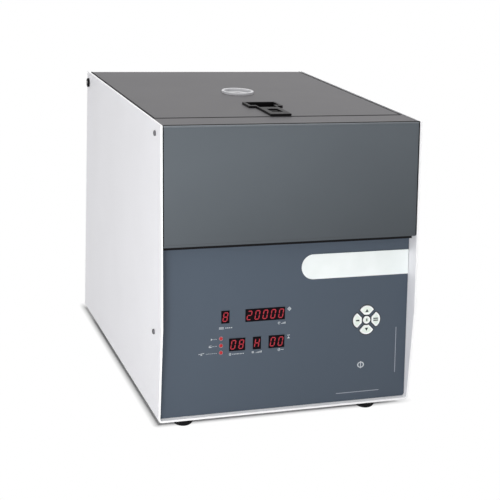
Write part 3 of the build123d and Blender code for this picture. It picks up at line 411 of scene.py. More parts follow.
# %% [markdown]
# ## Plastics, inks and rubber
#
# The latch and the small electrical parts are moulded from black plastic with a fine spark-eroded
# texture. The badge and keys are smooth and slightly glossy. A printed ink is the same recipe with a
# finer grain. Rubber is dull, and dust settles on its upward faces as a faint paler film.

# %% Moulded finishes
def moulded(name, colour, roughness, texture, depth, **fixed):
    """A plastic with a texture whose lumps and depth are in millimetres."""
    finish = Finish(name, colour, roughness, **fixed)
    grain = finish.noise(texture * MM, 2.0)
    patch = finish.noise(30 * MM, 2.0)
    finish.set("Base Color", finish.blend(patch, tint(colour, 0.93), tint(colour, 1.07)))
    finish.set("Roughness", roughness - 0.03 + grain * 0.06 + patch * 0.03)
    finish.bump(grain, depth * MM)
    return finish.done()


RUBBER_BLACK, RUBBER_DUST = (0.005, 0.005, 0.006), (0.05, 0.05, 0.05)


def rubber_finish():
    finish = Finish("black_rubber", RUBBER_BLACK, 0.72, Specular_IOR_Level=0.12)
    dust = finish.noise(8 * MM, 4.0)
    film = (finish.facing("Z").clamped() * dust * 0.3).clamped()
    finish.set("Base Color", finish.blend(film, RUBBER_BLACK, RUBBER_DUST))
    finish.set("Roughness", 0.66 + dust * 0.14)
    finish.bump(finish.noise(0.9 * MM, 3.0), 0.04 * MM)
    return finish.done()


matt_black = {"Specular_IOR_Level": 0.12}
deep_black = {"Specular_IOR_Level": 0.10}
smoked = {"Specular_IOR_Level": 0.08}
glossed = {"Coat_Weight": 0.2}
black_plastic = moulded("moulded_black", (0.006, 0.005, 0.006), 0.42, 0.8, 0.03, **matt_black)
cap_plastic = moulded("cap_black", (0.004, 0.004, 0.005), 0.50, 2.0, 0.01, **deep_black)
badge_plastic = moulded("badge_white", (0.90, 0.96, 0.945), 0.30, 3.0, 0.006, **glossed)
key_plastic = moulded("key_white", (0.97, 1.0, 0.985), 0.32, 3.0, 0.006, **glossed)
key_mint = moulded("key_mint", (0.80, 0.87, 0.80), 0.40, 0.8, 0.004)
ring_plastic = moulded("window_ring_white", (0.62, 0.62, 0.64), 0.35, 3.0, 0.008)
mask_plastic = moulded("window_mask_grey", (0.56, 0.56, 0.57), 0.50, 1.2, 0.02)
liner_plastic = moulded("liner_grey", (0.60, 0.61, 0.62), 0.50, 1.2, 0.04)
nylon = moulded("natural_nylon", (0.78, 0.76, 0.70), 0.45, 1.0, 0.02)
display_plastic = moulded("display_window", (0.003, 0.001, 0.003), 0.30, 3.0, 0.004, **smoked)
unlit_segment = moulded("unlit_segment", (0.008, 0.003, 0.004), 0.45, 1.0, 0.003, **smoked)
board_resin = moulded("circuit_board", (0.02, 0.15, 0.06), 0.42, 0.9, 0.03)
pale_ink = moulded("pale_ink", (0.54, 0.57, 0.60), 0.55, 0.4, 0.004)
line_ink = moulded("line_ink", (0.33, 0.35, 0.40), 0.55, 0.4, 0.004)
grey_ink = moulded("grey_ink", (0.36, 0.33, 0.36), 0.55, 0.4, 0.004)
dark_ink = moulded("dark_ink", (0.018, 0.022, 0.028), 0.50, 0.4, 0.004)
rubber = rubber_finish()
print("plastics, inks and rubber made")

# %% [markdown]
# ## Metals
#
# Metal shows how it was worked. The spun bowl has fine rings about its axis, a turned aluminium part
# has coarser ones, and zinc plating has a mottled, slightly yellowish bloom. The rings are a noise
# stretched round the rotor's axis: the distance from the axis and the height are its only coordinates.

# %% Metals
rotor_axis = Vector(joint("rotor_spin")["pos_m"])


def worked_metal(name, colour, roughness, ring_size, ring_depth, bloom=0.0):
    """A metal with turning marks whose pitch and depth are in millimetres."""
    finish = Finish(name, colour, roughness, metallic=1.0)
    centred = finish.node(
        "ShaderNodeVectorMath", {"operation": "SUBTRACT"},
        {0: finish.place, 1: (rotor_axis.x, rotor_axis.y, 0)},
    )
    flat = finish.node(
        "ShaderNodeVectorMath", {"operation": "MULTIPLY"}, {0: centred, 1: (1, 1, 0)}
    )
    radius = finish.node("ShaderNodeVectorMath", {"operation": "LENGTH"}, {0: flat}, output="Value")
    height = finish.along("Z", centred)
    turned = finish.node("ShaderNodeCombineXYZ", {}, {"X": radius, "Y": height})
    rings = finish.noise(ring_size * MM, 3.0, place=turned)
    stain = finish.noise(20 * MM, 4.0)
    worn = finish.blend(stain, tint(colour, 0.92), tint(colour, 1.05))
    yellow = (colour[0] * 1.02, colour[1] * 0.97, colour[2] * 0.86)
    finish.set("Base Color", finish.blend(stain * bloom, worn, yellow))
    finish.set("Roughness", roughness - 0.06 + rings * 0.10 + stain * 0.04)
    finish.bump(rings, ring_depth * MM)
    return finish.done()


stainless = worked_metal("spun_stainless", (0.52, 0.52, 0.525), 0.30, 0.6, 0.015)
aluminium = worked_metal("turned_aluminium", (0.62, 0.63, 0.645), 0.34, 1.4, 0.05)
brass = worked_metal("turned_brass", (0.72, 0.55, 0.29), 0.30, 0.7, 0.02, bloom=0.4)
plated = worked_metal("zinc_plate", (0.50, 0.50, 0.51), 0.38, 3.0, 0.01, bloom=0.4)
screw_steel = worked_metal("blackened_steel", (0.16, 0.16, 0.17), 0.42, 3.0, 0.01)
copper = worked_metal("copper_winding", (0.62, 0.29, 0.15), 0.35, 0.9, 0.1)
print("six metals")

# %% [markdown]
# ## Light from the digits, and the clear window
#
# The lit segments and lamps are red light emitting diodes behind a smoked window: their colour is set
# as emission over a nearly black base, a little uneven along each segment. The lid's window is thick
# clear acrylic, so its shader transmits light and its faces are very slightly wavy.

# %% Lit and clear finishes
def lit(name, colour, strength):
    finish = Finish(name, tint(colour, 0.1), 0.40, Emission_Strength=strength)
    flicker = finish.noise(4 * MM, 1.0)
    finish.set("Emission Color", finish.blend(flicker, tint(colour, 0.75), tint(colour, 1.2)))
    return finish.done()


def acrylic():
    finish = Finish("clear_acrylic", (0.35, 0.37, 0.38), 0.06, Transmission_Weight=0.85, IOR=1.49)
    finish.set("Roughness", 0.04 + finish.noise(10 * MM, 2.0) * 0.05)
    finish.bump(finish.noise(20 * MM, 1.0), 0.02 * MM)
    return finish.done()


digit_light = lit("digit_red", (0.60, 0.018, 0.042), 0.66)
lamp_light = lit("lamp_red", (0.78, 0.012, 0.026), 0.50)
clear = acrylic()
print("lit and clear finishes made")

# %% [markdown]
# ## Finishing the frame's own pieces
#
# Most of the frame's solids already have the right shape, so they stay, and only their material slots
# change. A table names the finish of each.

# %% Dress the CAD nodes
dressing = {
    side_paint: ["cabinet_wrap", "rear_panel"],
    hood_paint: ["front_hood"],
    lid_paint: ["lid_shell"],
    overlay: ["control_panel"],
    guard_paint: ["guard_ring"],
    badge_plastic: ["badge_plate"],
    key_plastic: ["up_key", "down_key", "left_key", "right_key", "centre_key"],
    display_plastic: [
        "program_display", "speed_display", "rotor_display", "brake_display", "timer_display"
    ],
    lamp_light: ["status_lamps"],
    black_plastic: [
        "latch_housing", "latch_slide", "mains_inlet", "switch_frame", "switch_rocker",
        "fan_frame", "fan_blades", "lid_sensor",
    ],
    cap_plastic: ["hinge_caps"],
    rubber: ["rubber_feet", "bowl_gasket", "vibration_mounts", "shaft_boot"],
    stainless: ["chamber_bowl", "chamber_deck"],
    aluminium: ["rotor_dish", "rotor_nut", "motor_housing", "motor_end_cap", "drive_unit"],
    brass: ["tube_sleeves"],
    screw_steel: ["side_screws"],
    copper: ["motor_stator"],
    plated: [
        "base_plate", "foot_bolts", "rear_screws", "fan_guard", "chamber_shelf",
        "motor_plate", "motor_bearings", "motor_armature", "motor_shaft", "hinge_blocks",
        "hinge_pins", "latch_guide", "latch_keeper",
    ],
    liner_plastic: ["lid_liner"],
    ring_plastic: ["window_bezel"],
    clear: ["window_lens"],
    nylon: ["hinge_washers"],
    board_resin: ["control_board"],
}
for material, names in dressing.items():
    for name in names:
        nodes[name].data.materials.clear()
        nodes[name].data.materials.append(material)
undressed = sorted(set(nodes) - {name for names in dressing.values() for name in names})
print("nodes without a finish:", undressed)

# %% [markdown]
# ## Adding a piece
#
# A piece of the lesson always stays at the origin: its place is in its mesh. `piece` makes the object,
# lets it ride on the body it belongs to, and hides any solids of the frame that it stands for.
# `joined` puts several meshes into one, each with its own material. `slab` is the plainest solid there
# is, a flat outline given a thickness, and most printed marks and small plates are slabs. `band` is
# its counterpart for a strip that runs round something.


def piece(name, mesh, body, stands_for=()):
    obj = linked(name, mesh)
    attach(obj, body)
    if stands_for:
        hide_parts(*stands_for)


def settled(shape, name):
    """A mesh with what a bmesh holds. The bmesh goes."""
    mesh = bpy.data.meshes.new(name)
    shape.to_mesh(mesh)
    shape.free()
    return mesh


def joined(name, parts):
    """One mesh from (mesh, material) pairs."""
    shape = bmesh.new()
    finishes = list(dict.fromkeys(material for part, material in parts))
    for part, material in parts:
        first = len(shape.faces)
        shape.from_mesh(part)
        shape.faces.ensure_lookup_table()
        for face in shape.faces[first:]:
            face.material_index = finishes.index(material)
    mesh = settled(shape, name)
    for material in finishes:
        mesh.materials.append(material)
    return mesh


def mesh_from(name, points, faces):
    mesh = bpy.data.meshes.new(name)
    mesh.from_pydata(points, [], faces)
    return mesh


def anticlockwise(outline):
    area = sum(a[0] * b[1] - a[1] * b[0] for a, b in zip(outline, outline[1:] + outline[:1]))
    return outline if area > 0 else outline[::-1]


def slab(outlines, low, high):
    """Plates between two heights, from simple outlines."""
    points, faces = [], []
    for outline in map(anticlockwise, outlines):
        first, count = len(points), len(outline)
        points += [(x, y, z) for z in (low, high) for x, y in outline]
        faces.append([first + i for i in reversed(range(count))])
        faces.append([first + count + i for i in range(count)])
        for i in range(count):
            j = (i + 1) % count
            faces.append([first + i, first + j, first + count + j, first + count + i])
    return mesh_from("slab", points, faces)


def band(inner, outer, low, high):
    """A closed strip between two outlines with the same number of points."""
    count = len(inner)
    points = [(x, y, z) for z in (low, high) for loop in (inner, outer) for x, y in loop]
    faces = []
    for i in range(count):
        j = (i + 1) % count
        below_in, below_out, above_in, above_out = (k * count for k in range(4))
        faces += [
            [above_in + i, above_out + i, above_out + j, above_in + j],
            [below_in + j, below_out + j, below_out + i, below_in + i],
            [below_out + i, below_out + j, above_out + j, above_out + i],
            [below_in + j, below_in + i, above_in + i, above_in + j],
        ]
    return mesh_from("band", points, faces)


print("pieces can be added")

# %% [markdown]
# ## Softened edges
#
# Folded sheet metal and moulded plastic have no knife edges: a bend or a break of a few tenths of a
# millimetre catches a thin line of light, and that line is much of what makes a surface look real. So
# the large visible solids are rebuilt from their own meshes. Doubled points are merged, flat regions
# become single faces, and every long sharp edge gets a small round of two segments. Normals weighted
# by area keep the large faces evenly shaded right up to the rounds.

# %% Soften the long edges of the large solids
EDGE_ANGLE = math.radians(28)
FLAT_ANGLE = math.radians(1)
SHADE_ANGLE = math.radians(40)
SAME_POINT = 0.005 * MM


def merged(mesh):
    """A bmesh of a CAD mesh, with its doubled points merged and its flat regions dissolved."""
    shape = bmesh.new()
    shape.from_mesh(mesh)
    bmesh.ops.remove_doubles(shape, verts=shape.verts, dist=SAME_POINT)
    bmesh.ops.dissolve_limit(shape, angle_limit=FLAT_ANGLE, verts=shape.verts, edges=shape.edges)
    return shape


def taken_from(carrier, name):
    """The plain mesh of a temporary object with its modifiers applied. The object goes."""
    view = bpy.context.evaluated_depsgraph_get()
    mesh = bpy.data.meshes.new_from_object(carrier.evaluated_get(view))
    mesh.name = name
    carrier.modifiers.clear()
    bpy.data.objects.remove(carrier)
    return mesh


def smooth(mesh):
    """The mesh, smoothly shaded but for its sharp edges."""
    mesh.shade_smooth()
    mesh.set_sharp_from_angle(angle=SHADE_ANGLE)
    return mesh


def softened(node, width, shortest):
    """Puts a piece with rounded edges in a solid's place, and counts those edges."""
    source = nodes[node]
    shape = merged(source.data)
    corners = [
        edge for edge in shape.edges
        if edge.is_manifold and edge.calc_face_angle() > EDGE_ANGLE
        and edge.calc_length() > shortest
    ]
    bmesh.ops.bevel(
        shape, geom=corners, offset=width, offset_type="OFFSET", segments=2, profile=0.5,
        affect="EDGES", clamp_overlap=True,
    )
    start = smooth(settled(shape, node))
    carrier = linked(node, start)
    carrier.modifiers.new("even_normals", "WEIGHTED_NORMAL").keep_sharp = True
    mesh = taken_from(carrier, node + "_soft")
    mesh.materials.append(source.data.materials[0])
    piece(mesh.name, mesh, source["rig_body"], [node])
    return len(corners)


for node, width, shortest in (
    ("cabinet_wrap", 0.35 * MM, 8 * MM), ("front_hood", 0.5 * MM, 8 * MM),
    ("control_panel", 0.3 * MM, 12 * MM), ("lid_shell", 0.5 * MM, 8 * MM),
    ("latch_housing", 0.35 * MM, 3 * MM), ("latch_slide", 0.3 * MM, 3 * MM),
    ("badge_plate", 0.2 * MM, 5 * MM),
):
    print(node, softened(node, width, shortest), "edges softened")

# %% [markdown]
# ## Seams
#
# The hood's front sheet hooks under its top sheet, so a dark joint with a rubber lip runs along the
# upper edge, and the small roll of the front sheet below it has a painted highlight, a lighter grey.
# Narrower lips close the gaps to the cabinet's sides. The lower edge is folded back sharply; a black
# strip under it is a painted shadow, standing for the shade beneath the hood's overhang.
# Each has a section that is drawn out across the machine. The points of a section are given in
# millimetres below the hood's top edge and proud of its front sheet.

# %% Seam lips
HOOD_SIDE_LIP = 1.5 * MM
# the painted shadow strip under the hood stops short of its right end
SHADOW_STRIP_SHORT = 7.5 * MM
BROW_ZONE = 4 * MM
SKIRT_DEPTH, SHADOW_STRIP_DEPTH, FOLD_BACK = 2.0, 3.2, -2.2
low, high = span("front_hood")
hood_points = [vertex.co for vertex in nodes["front_hood"].data.vertices]
brow = min((p for p in hood_points if p.z > high.z - BROW_ZONE), key=lambda p: p.y)
chin = min(hood_points, key=lambda p: p.y)
lean = (brow.y - chin.y) / (brow.z - chin.z)


across = Matrix(((0, 0, 1), (1, 0, 0), (0, 1, 0))).to_4x4()


def drawn_out(section, left, right):
    """A section given as (below, proud) points, drawn out along x."""
    outline = []
    for below, proud in section:
        z = high.z - below * MM
        outline.append((brow.y + lean * (z - brow.z) - proud * MM, z))
    mesh = slab([outline], left, right)
    mesh.transform(across)
    return mesh


foot = (high.z - chin.z) / MM
hem = foot + SKIRT_DEPTH
shadow_strip_end = hem + SHADOW_STRIP_DEPTH
lip = [(0.1, -1.0), (-0.9, -1.0), (-0.9, -4.0), (0.1, -4.0)]
roll = [(0.05, -1.9), (-0.15, -0.9), (0.7, 0.1), (2.1, 0.45), (2.5, -0.1)]
side_lip = [(0.6, -0.1), (0.6, 0.2), (foot, 0.2), (foot, -0.1)]
skirt = [(foot - 1.5, -0.1), (foot - 1.3, 0.12), (hem, 0.12), (hem, FOLD_BACK)]
# painted shadow: a black strip under the hood's lower edge stands for the shade beneath its overhang
painted_shadow_strip = [(hem, 0.05), (shadow_strip_end, 0.05), (shadow_strip_end, FOLD_BACK), (hem, FOLD_BACK)]
left, right = low.x + HOOD_SIDE_LIP, high.x - HOOD_SIDE_LIP
runs = [
    (lip, low.x, high.x, cap_plastic),
    # the painted shadow strip, in black plastic
    (painted_shadow_strip, low.x, high.x - SHADOW_STRIP_SHORT, cap_plastic),
    (skirt, left, right, hood_paint),
    (side_lip, low.x, left, rubber),
    (side_lip, right, high.x, rubber),
    # painted highlight: the roll takes the lighter fold enamel
    (roll, left, right, fold_painted_highlight),
]
hood_seam = joined("hood_seam", [(drawn_out(*run), material) for *run, material in runs])
piece("hood_seam", hood_seam, "cabinet")
print(f"the hood's front leans {math.degrees(math.atan(lean)):.1f} degrees")

# %% [markdown]
# ## Lips of the lid
#
# A flat rubber lip closes the gap between lid and hood on three sides. Because it is flat, it needs no
# section: a rectangle along the front and one down each side, given a thickness, are enough.

# %% Lips of the lid
FRONT_LIP, SIDE_LIP, LIP_HEIGHT = 3.2 * MM, 1.8 * MM, 0.3 * MM


def bar(x, y, width, height):
    return [(x, y), (x + width, y), (x + width, y + height), (x, y + height)]


low, high = span("lid_shell")
lip_back = low.y + FRONT_LIP
lid_lips = slab([
    bar(low.x, low.y, high.x - low.x, FRONT_LIP),
    *(bar(x, lip_back, SIDE_LIP, high.y - lip_back) for x in (low.x, high.x - SIDE_LIP)),
], high.z, high.z + LIP_HEIGHT)
piece("lid_lip", joined("lid_lip", [(lid_lips, rubber)]), "lid")
print(f"lips of the lid {(high.y - lip_back) / MM:.0f} mm long at the sides")

# %% [markdown]
# ## Geometry Nodes for whatever repeats
#
# Digits, slots and wires repeat, so each is described once as a Geometry Nodes recipe with named
# inputs. A recipe runs on a temporary carrier object, its result is taken out as a plain mesh, and the
# carrier is thrown away.

# %% Recipes, and how one is run
class Recipe(Tree):
    """A Geometry Nodes tree with named inputs."""

    def __init__(self, name, **inputs):
        super().__init__(bpy.data.node_groups.new(name, "GeometryNodeTree"))
        sockets = self.tree.interface
        sockets.new_socket("Geometry", in_out="OUTPUT", socket_type="NodeSocketGeometry")
        for key, kind in {"Geometry": "Geometry", **inputs, "Material": "Material"}.items():
            sockets.new_socket(key, in_out="INPUT", socket_type="NodeSocket" + kind)
        start = self.tree.nodes.new("NodeGroupInput")
        self.given = {socket.name: Wire(self, socket) for socket in start.outputs if socket.name}

    def copies(self, points, model, **settings):
        """The model at every point."""
        pair = {"Points": points, "Instance": model, **settings}
        return self.node("GeometryNodeInstanceOnPoints", {}, pair)

    def moved(self, geometry, **settings):
        return self.node("GeometryNodeTransform", {}, {"Geometry": geometry, **settings})

    def circle(self, radius, steps):
        pair = {"Resolution": steps, "Radius": radius}
        return self.node("GeometryNodeCurvePrimitiveCircle", {}, pair)

    def point(self, **coordinates):
        """A place made from inputs; a coordinate that isn't given is 0."""
        return self.node("ShaderNodeCombineXYZ", {}, coordinates)

    def ends_with(self, geometry):
        real = self.node("GeometryNodeRealizeInstances", {}, {"Geometry": geometry})
        pair = {"Geometry": real, "Material": self.given["Material"]}
        end = self.tree.nodes.new("NodeGroupOutput")
        self.put(end.inputs["Geometry"], self.node("GeometryNodeSetMaterial", {}, pair))


def grown(name, recipe, start=None, **values):
    """The mesh that a recipe makes from a start mesh and the values of its inputs."""
    carrier = linked(name, start or bpy.data.meshes.new(name))
    modifier = carrier.modifiers.new(name, "NODES")
    modifier.node_group = recipe.tree
    for item in recipe.tree.interface.items_tree:
        if item.in_out == "INPUT" and item.name in values:
            modifier[item.identifier] = values[item.name]
    return taken_from(carrier, name)


print("recipes can be run")

# %% [markdown]
# ## Stamping
#
# The recipe that is used most places copies of a small model at points, and each point carries its own
# turn and size. One tree is enough for the whole lesson, because the model is one of its inputs.

# %% The stamp
def stamp_recipe():
    recipe = Recipe("stamp", Stamp="Object")
    turn, size = (
        recipe.node("GeometryNodeInputNamedAttribute", {"data_type": "FLOAT_VECTOR"}, {"Name": key})
        for key in ("turn", "size")
    )
    source = {"Object": recipe.given["Stamp"]}
    model = recipe.node("GeometryNodeObjectInfo", {}, source, output="Geometry")
    recipe.ends_with(recipe.copies(recipe.given["Geometry"], model, Rotation=turn, Scale=size))
    return recipe


stamping = stamp_recipe()


def stamped(name, model, spots, material):
    """Copies of a model mesh at (place, turn, size) spots."""
    points = mesh_from(name + "_spots", [spot[0] for spot in spots], [])
    for key, column in (("turn", 1), ("size", 2)):
        values = points.attributes.new(key, "FLOAT_VECTOR", "POINT")
        values.data.foreach_set("vector", [v for spot in spots for v in spot[column]])
    holder = linked(name + "_model", model)
    mesh = grown(name, stamping, points, Stamp=holder, Material=material)
    bpy.data.objects.remove(holder)
    return mesh


print("inputs of the stamp:", list(stamping.given))

# %% [markdown]
# ## The seven-segment displays
#
# Each display is a smoked window with light emitting modules behind it. A digit is seven hexagonal
# bars leaning forward by ten degrees. One bar is the model, each digit is seven points, and a code
# says which bars are lit. The unlit bars are there too, barely visible, as they are on a real module.

# %% Digits
DIGIT_HEIGHT, DIGIT_WIDTH, STROKE = 14.0 * MM, 7.5 * MM, 1.4 * MM
SLANT = math.radians(10)
BAR_GAP = 0.25 * MM
BAR_HEIGHT = 0.08 * MM
half_height, half_width = (DIGIT_HEIGHT - STROKE) / 2, (DIGIT_WIDTH - STROKE) / 2
half_stroke = STROKE / 2
segments = {
    "a": (0, half_height, 0), "g": (0, 0, 0), "d": (0, -half_height, 0),
    "b": (half_width, half_height / 2, 90), "c": (half_width, -half_height / 2, 90),
    "e": (-half_width, -half_height / 2, 90), "f": (-half_width, half_height / 2, 90),
}
digit_codes = {"0": "abcdef", "2": "abged", "8": "abcdefg", "H": "bcefg"}
readouts = {
    "program_display": "8", "speed_display": "20000", "rotor_display": "08",
    "brake_display": "H", "timer_display": "00",
}
bar_end = half_width - BAR_GAP
straight = bar_end - half_stroke
bar_outline = [
    (-bar_end, 0), (-straight, -half_stroke), (straight, -half_stroke),
    (bar_end, 0), (straight, half_stroke), (-straight, half_stroke),
]
bar_model = slab([bar_outline], 0, BAR_HEIGHT)
upright_stretch = (half_height / 2 - BAR_GAP) / bar_end


def digit_spots(readout, low, high, shining):
    """The bars of a readout that shine, or those that don't, over a display's face."""
    spots = []
    pitch = (high.x - low.x) / len(readout)
    for i, sign in enumerate(readout):
        middle = Vector((low.x + (i + 0.5) * pitch, (low.y + high.y) / 2, high.z))
        for segment, (x, y, turn) in segments.items():
            if (segment in digit_codes[sign]) == shining:
                place = middle + Vector((x + y * math.tan(SLANT), y, 0))
                upright = turn == 90
                turned = math.radians(turn) - (SLANT if upright else 0)
                spots.append((place, (0, 0, turned), (upright_stretch if upright else 1, 1, 1)))
    return spots


def on_panel(mesh, body="cabinet"):
    """Adds a mesh that was drawn in the panel's own axes."""
    mesh.transform(panel_place)
    piece(mesh.name, mesh, body)


for node, readout in readouts.items():
    low, high = span(node, panel_place)
    parts = []
    for shining, material in ((True, digit_light), (False, unlit_segment)):
        spots = digit_spots(readout, low, high, shining)
        if spots:
            parts.append((stamped(node + "_bars", bar_model, spots, material), material))
    on_panel(joined(node + "_digits", parts))
    print(node, "reads", readout)

# %% [markdown]
# ## Printed signs
#
# The overlay explains each display with signs in pale ink, and no words: rows and dots for the program,
# an open ring with rising bars for the speed, a ring with eight dots for the rotor's places, rising
# bars for the brake and a clock for the time. Dotted lines lead from three signs to their lamps. A sign
# is a set of outlines a few hundredths of a millimetre thick, placed by its distance from the middle
# of the panel and from its upper edge. A few small functions draw the shapes that signs are made of.

# %% Shapes for signs
ROUND_STEPS = 28


def at(x, d, points):
    """Outline points in millimetres, moved to a spot x from the middle and d from the upper edge."""
    return [Vector(((x + px) * MM, (py - d) * MM)) for px, py in points]


def arc(radius, width, start, end, x=0.0):
    """The outline of a stroke that is bent from one angle to another, in degrees."""
    turn = (end - start) / ROUND_STEPS
    turns = [math.radians(start + turn * i) for i in range(ROUND_STEPS + 1)]
    inner, outer = radius - width / 2, radius + width / 2
    outline = [(x + outer * math.cos(t), outer * math.sin(t)) for t in turns]
    return outline + [(x + inner * math.cos(t), inner * math.sin(t)) for t in reversed(turns)]


def circle(radius, x=0.0, y=0.0, steps=ROUND_STEPS):
    turns = [2 * math.pi * i / steps for i in range(steps)]
    return [(x + radius * math.cos(t), y + radius * math.sin(t)) for t in turns]


def dots(count, pitch, radius, x=0.0, y=0.0):
    return [circle(radius, x + i * pitch, y, steps=12) for i in range(count)]


def rising(count, pitch, width, tallest, x, y):
    """Bars that grow from left to right."""
    return [bar(x + i * pitch, y, width, tallest * (i + 1) / count) for i in range(count)]


print("strokes, rings, dots and rising bars can be drawn")

# %% Signs on the overlay
INK = 0.04 * MM
signs = {
    "program": (-96.7, 135.0, [
        *(bar(-9.5, y, 7.5, 0.55) for y in (-1.6, -0.3, 1.0)), *dots(4, 2.9, 0.9, 1.2, 0.0),
    ]),
    "speed": (-9.3, 133.3, [
        arc(1.5, 0.7, 40, 320, x=-3.4), [(-2.9, 0.5), (-1.2, 0.6), (-1.8, 1.9)],
        *rising(4, 1.9, 1.1, 3.0, -0.2, -1.5),
    ]),
    "rotor": (-78.3, 175.3, [
        circle(0.6, -10.5), arc(1.6, 0.6, 10, 170, x=-10.5), arc(1.6, 0.6, 190, 350, x=-10.5),
        *dots(8, 2.35, 0.75, -6.3, 0.0),
    ]),
    "brake": (-47.3, 174.7, [
        bar(-7.6, -1.5, 1.0, 3.0), bar(-5.9, -1.5, 1.0, 3.0), *rising(6, 1.9, 1.1, 3.0, -3.0, -1.5),
    ]),
    "timer": (-9.3, 174.0, [
        arc(1.7, 0.6, 95, 445, x=-2.9), bar(-3.15, -0.2, 0.5, 1.4), bar(-3.15, -0.25, 1.2, 0.5),
        bar(0.0, -0.4, 4.6, 0.8),
    ]),
    "run": (-115.0, 151.0, [[(-3.4, -1.5), (-0.6, 0), (-3.4, 1.5)], *dots(3, 1.9, 0.5, 1.0)]),
    "lid": (-115.0, 161.6, [
        bar(-6.6, -1.4, 4.2, 1.3), [(-6.6, 0.5), (-2.8, 1.4), (-2.8, 2.0), (-6.6, 1.1)],
        *dots(4, 1.9, 0.5, -0.9),
    ]),
    "balance": (-115.0, 172.2, [
        [(-19.6, -1.6), (-16.4, -1.6), (-18.0, 0.4)],
        [(-22.4, -0.2), (-13.6, 1.2), (-13.6, 2.0), (-22.4, 0.6)],
        *dots(9, 1.9, 0.5, -10.4),
    ]),
    "hour_glass": (2.7, 155.0, [
        [(-2.2, -2.8), (2.2, -2.8), (0, 0)], [(0, 0), (0.9, 1.1), (-0.9, 1.1)],
        bar(-2.2, 2.4, 4.4, 0.5), [(-2.2, 2.3), (-1.1, 1.2), (-0.7, 1.4), (-1.7, 2.3)],
        [(0.7, 1.4), (1.1, 1.2), (2.2, 2.3), (1.7, 2.3)],
    ]),
    "diamond": (3.3, 112.7, [
        [(-3.2, 0), (0, -3.2), (0, -1.9), (-1.9, 0)], [(0, -3.2), (3.2, 0), (1.9, 0), (0, -1.9)],
        [(3.2, 0), (0, 3.2), (0, 1.9), (1.9, 0)], [(0, 3.2), (-3.2, 0), (-1.9, 0), (0, 1.9)],
        circle(0.8),
    ]),
    "power": (121.7, 208.3, [
        [(1.2 * px, py) for px, py in arc(4.0, 1.4, 90, 450)], bar(-0.7, -5.6, 1.4, 11.2),
    ]),
}
outlines = [at(x, d, shape) for x, d, shapes in signs.values() for shape in shapes]
ink = slab(outlines, 0, INK)
rules = slab([
    at(179.7, 225.0, bar(-0.5, 0, 1.0, 72.0)), at(81.7, 250.7, bar(0, -0.5, 71.6, 1.0)),
], 0, INK)
print_mesh = joined("overlay_print", [(ink, pale_ink), (rules, line_ink)])
on_panel(print_mesh)
print(len(signs), "signs and two rules,", len(print_mesh.polygons), "faces")

# %% [markdown]
# ## The keypad
#
# A dark line is printed round every key. It follows the key's own outline, which is read from the
# edge of the key's outer face: the edges that no second face of the front shares are put in a row.

# %% Outlines of the keys
FACING = 0.9
FACE_DEPTH = 0.1 * MM


def face_outline(node, axes):
    """The edge of a node's outermost face, anticlockwise, in the given axes."""
    shape = merged(nodes[node].data)
    shape.transform(axes.inverted())
    shape.normal_update()
    top = max(vertex.co.z for vertex in shape.verts)
    faces = [
        face for face in shape.faces
        if face.normal.z > FACING and face.calc_center_median().z > top - FACE_DEPTH
    ]
    following = {}
    for face in faces:
        for loop in face.loops:
            if loop.link_loop_radial_next.face not in faces:
                following[loop.vert] = loop.link_loop_next.vert
    corner = next(iter(following))
    outline = []
    while corner in following:
        outline.append(corner.co.xy.copy())
        corner = following.pop(corner)
    shape.free()
    return outline, top


key_nodes = [name for name in nodes if name.endswith("_key")]
key_faces = {name: face_outline(name, panel_place) for name in key_nodes}
print({name: len(outline) for name, (outline, top) in key_faces.items()}, "corners")

# %% [markdown]
# ## Wider and narrower outlines
#
# The printed line runs outside a key's outline, and the coloured pad lies inside it. Moved outwards, an
# outline only needs mitred corners. Moved inwards, the short edges of a tight round would cross each
# other, so the edge that shrinks below nothing is dropped, until none is left that does.

# %% Moving an outline
SHARPEST_MITRE = 0.5
PARALLEL = 1e-4


def offset(loop, distance):
    """An anticlockwise loop, moved outwards, with its corners mitred."""
    moved = []
    for i, here in enumerate(loop):
        before = (here - loop[i - 1]).normalized()
        after = (loop[(i + 1) % len(loop)] - here).normalized()
        normal = Vector((before.y + after.y, -before.x - after.x)).normalized()
        mitre = max(SHARPEST_MITRE, normal.cross(after))
        moved.append(here + normal * (distance / mitre))
    return moved


def inset(loop, distance):
    """An anticlockwise loop, moved inwards, without the edges that vanish at tight corners."""
    lines = []
    for here, after in zip(loop, loop[1:] + loop[:1]):
        along = (after - here).normalized()
        lines.append((here + along.orthogonal() * distance, along))
    while True:
        corners = []
        for (p, u), (q, v) in zip(lines[-1:] + lines[:-1], lines):
            slope = u.cross(v)
            corners.append(q if abs(slope) < PARALLEL else p + u * ((q - p).cross(v) / slope))
        lengths = [
            (end - start).dot(line[1])
            for start, end, line in zip(corners, corners[1:] + corners[:1], lines)
        ]
        if min(lengths) >= 0:
            return corners
        del lines[lengths.index(min(lengths))]


print("outlines can be moved")

# %% [markdown]
# ## Pads and signs of the keys
#
# On each key lies a pad in a faint mint, with its sign in dark ink. Since the keys move, each pad
# rides on its own key, while the dark lines stay with the panel.

